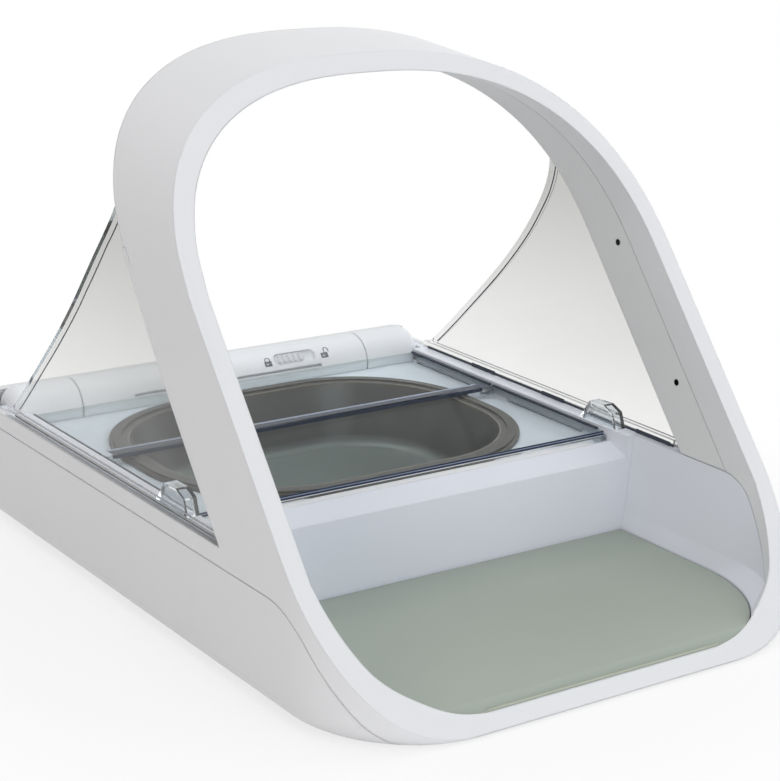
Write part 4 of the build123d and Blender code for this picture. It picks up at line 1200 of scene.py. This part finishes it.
@dataclass
class Studio:
    """White sweep, soft lamps and the camera."""

    floor_half: float = 6.0
    paper: str = "#F4F4F4"
    paper_tooth_mm: float = 3.0  # real paper's tooth is about 0.2 mm, so it is drawn coarser
    paper_roughness: float = 0.9
    # the floor seen is this much plain white out to near_m, and all white from far_m
    near_white: float = 0.72
    near_m: float = 0.15
    far_m: float = 0.3
    sky: str = "#F4F5F8"
    horizon: float = 0.25
    zenith: float = 0.2
    camera: Camera = Camera()
    lamps: tuple[Lamp, ...] = (
        Lamp("lamp_over", (0.1, 0.1, 1.7), (0, 0, 0.05), (1.6, 1.6), 9.8),
        Lamp("lamp_front", (0.0, -1.8, 0.9), (0, -0.05, 0.08), (1.0, 1.0), 9.5, "#F8FCFF"),
        Lamp("lamp_front_right", (1.1, -1.5, 0.8), (0, -0.05, 0.08), (1.0, 1.0), 4.5, "#F8FCFF"),
        Lamp("lamp_front_left", (-1.7, -0.9, 0.7), (0, 0, 0.08), (1.0, 1.0), 9.7, "#FFF8F3"),
        Lamp("lamp_right", (1.8, 0.2, 0.9), (0, 0, 0.08), (1.0, 1.0), 10.1),
        Lamp("lamp_rear", (-0.3, 1.2, 1.9), (0, 0, 0.08), (1.0, 1.0), 7.0),
    )

    def floor_material(self) -> bpy.types.Material:
        """Build the floor's material: paper that takes the shadow near the object and is plain white further out.

        Returns:
            The material.
        """
        material, tree, output = new_material("white_paper_sweep")
        place = add_node(tree, "ShaderNodeTexCoord").outputs["Object"]
        tooth = add_node(
            tree, "ShaderNodeTexNoise", values={"Scale": per_metre(self.paper_tooth_mm)}, links={"Vector": place}
        )
        bump = add_node(
            tree,
            "ShaderNodeBump",
            values={"Strength": 0.05, "Distance": 0.1 * MM},
            links={"Height": tooth.outputs["Fac"]},
        )
        paper = add_node(
            tree,
            "ShaderNodeBsdfPrincipled",
            values={"Base Color": linear(self.paper), "Roughness": self.paper_roughness},
            links={"Normal": bump.outputs[0]},
        )
        white = add_node(tree, "ShaderNodeEmission", values={"Color": (1, 1, 1, 1), "Strength": 1.0})
        reach = add_node(tree, "ShaderNodeVectorMath", {"operation": "LENGTH"}, links={0: place})
        share = add_node(
            tree,
            "ShaderNodeMapRange",
            {"interpolation_type": "SMOOTHSTEP"},
            {"From Min": self.near_m, "From Max": self.far_m, "To Min": self.near_white, "To Max": 1.0},
            {"Value": reach.outputs["Value"]},
        )
        seen = self.seen_rays(tree)
        amount = add_node(
            tree, "ShaderNodeMath", {"operation": "MULTIPLY"}, links={0: share.outputs[0], 1: seen.outputs[0]}
        )
        blend = add_node(
            tree, "ShaderNodeMixShader", links={0: amount.outputs[0], 1: paper.outputs[0], 2: white.outputs[0]}
        )
        tree.links.new(blend.outputs[0], output.inputs["Surface"])
        return material

    def seen_rays(self, tree: bpy.types.NodeTree) -> bpy.types.Node:
        """Add a node that is 1 for rays that show the background: to the eye, in a mirror or through a clear part.

        A ray that a matt surface has scattered is left out, since it would put the background's white on the object.

        Args:
            tree: Node tree that takes the nodes.

        Returns:
            The node whose first output is 1 or 0.
        """
        path = add_node(tree, "ShaderNodeLightPath")
        direct = add_node(
            tree,
            "ShaderNodeMath",
            {"operation": "MAXIMUM"},
            links={0: path.outputs["Is Camera Ray"], 1: path.outputs["Is Transmission Ray"]},
        )
        shown = add_node(
            tree,
            "ShaderNodeMath",
            {"operation": "MAXIMUM"},
            links={0: direct.outputs[0], 1: path.outputs["Is Glossy Ray"]},
        )
        unscattered = add_node(
            tree, "ShaderNodeMath", {"operation": "LESS_THAN"}, {1: 0.5}, {0: path.outputs["Diffuse Depth"]}
        )
        return add_node(
            tree, "ShaderNodeMath", {"operation": "MULTIPLY"}, links={0: shown.outputs[0], 1: unscattered.outputs[0]}
        )

    def build_world(self) -> None:
        """Set a soft world, a little brighter at the horizon than overhead, that shows as white."""
        world = bpy.data.worlds.new("studio")
        bpy.context.scene.world = world
        world.use_nodes = True
        tree = world.node_tree
        tree.nodes.clear()
        output = tree.nodes.new("ShaderNodeOutputWorld")
        way = add_node(tree, "ShaderNodeTexCoord").outputs["Generated"]
        axes = add_node(tree, "ShaderNodeSeparateXYZ", links={0: way})
        level = add_node(
            tree,
            "ShaderNodeMapRange",
            values={"From Min": 0.0, "From Max": 1.0, "To Min": self.horizon, "To Max": self.zenith},
            links={"Value": axes.outputs["Z"]},
        )
        light = add_node(
            tree, "ShaderNodeBackground", values={"Color": linear(self.sky)}, links={"Strength": level.outputs[0]}
        )
        shown = add_node(tree, "ShaderNodeBackground", values={"Color": (1, 1, 1, 1), "Strength": 1.0})
        seen = self.seen_rays(tree)
        mix = add_node(
            tree,
            "ShaderNodeMixShader",
            links={0: seen.outputs[0], 1: light.outputs[0], 2: shown.outputs[0]},
        )
        tree.links.new(mix.outputs[0], output.inputs["Surface"])

    def build(self) -> None:
        """Build floor, world, lamps and camera."""
        half = self.floor_half
        mesh = bpy.data.meshes.new("floor")
        square = [(-half, -half, 0), (half, -half, 0), (half, half, 0), (-half, half, 0)]
        mesh.from_pydata(square, [], [(0, 1, 2, 3)])
        floor = bpy.data.objects.new("floor", mesh)
        bpy.context.scene.collection.objects.link(floor)
        mesh.materials.append(self.floor_material())
        self.build_world()
        for lamp in self.lamps:
            lamp.build()
        self.camera.build()
        bpy.context.scene.view_settings.view_transform = "Standard"


def main() -> None:
    """Load the frame, build every piece and set up the studio."""
    logging.basicConfig(level=logging.INFO, format="%(name)s: %(message)s")
    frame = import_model()
    for group in (Casing(), Sill(), Controls(), TrayMat(), Bowl(), Lid(), Barrel(), Wings()):
        group.dress(frame["nodes"])
        group.build()
    Studio().build()


if __name__ == "__main__":
    main()
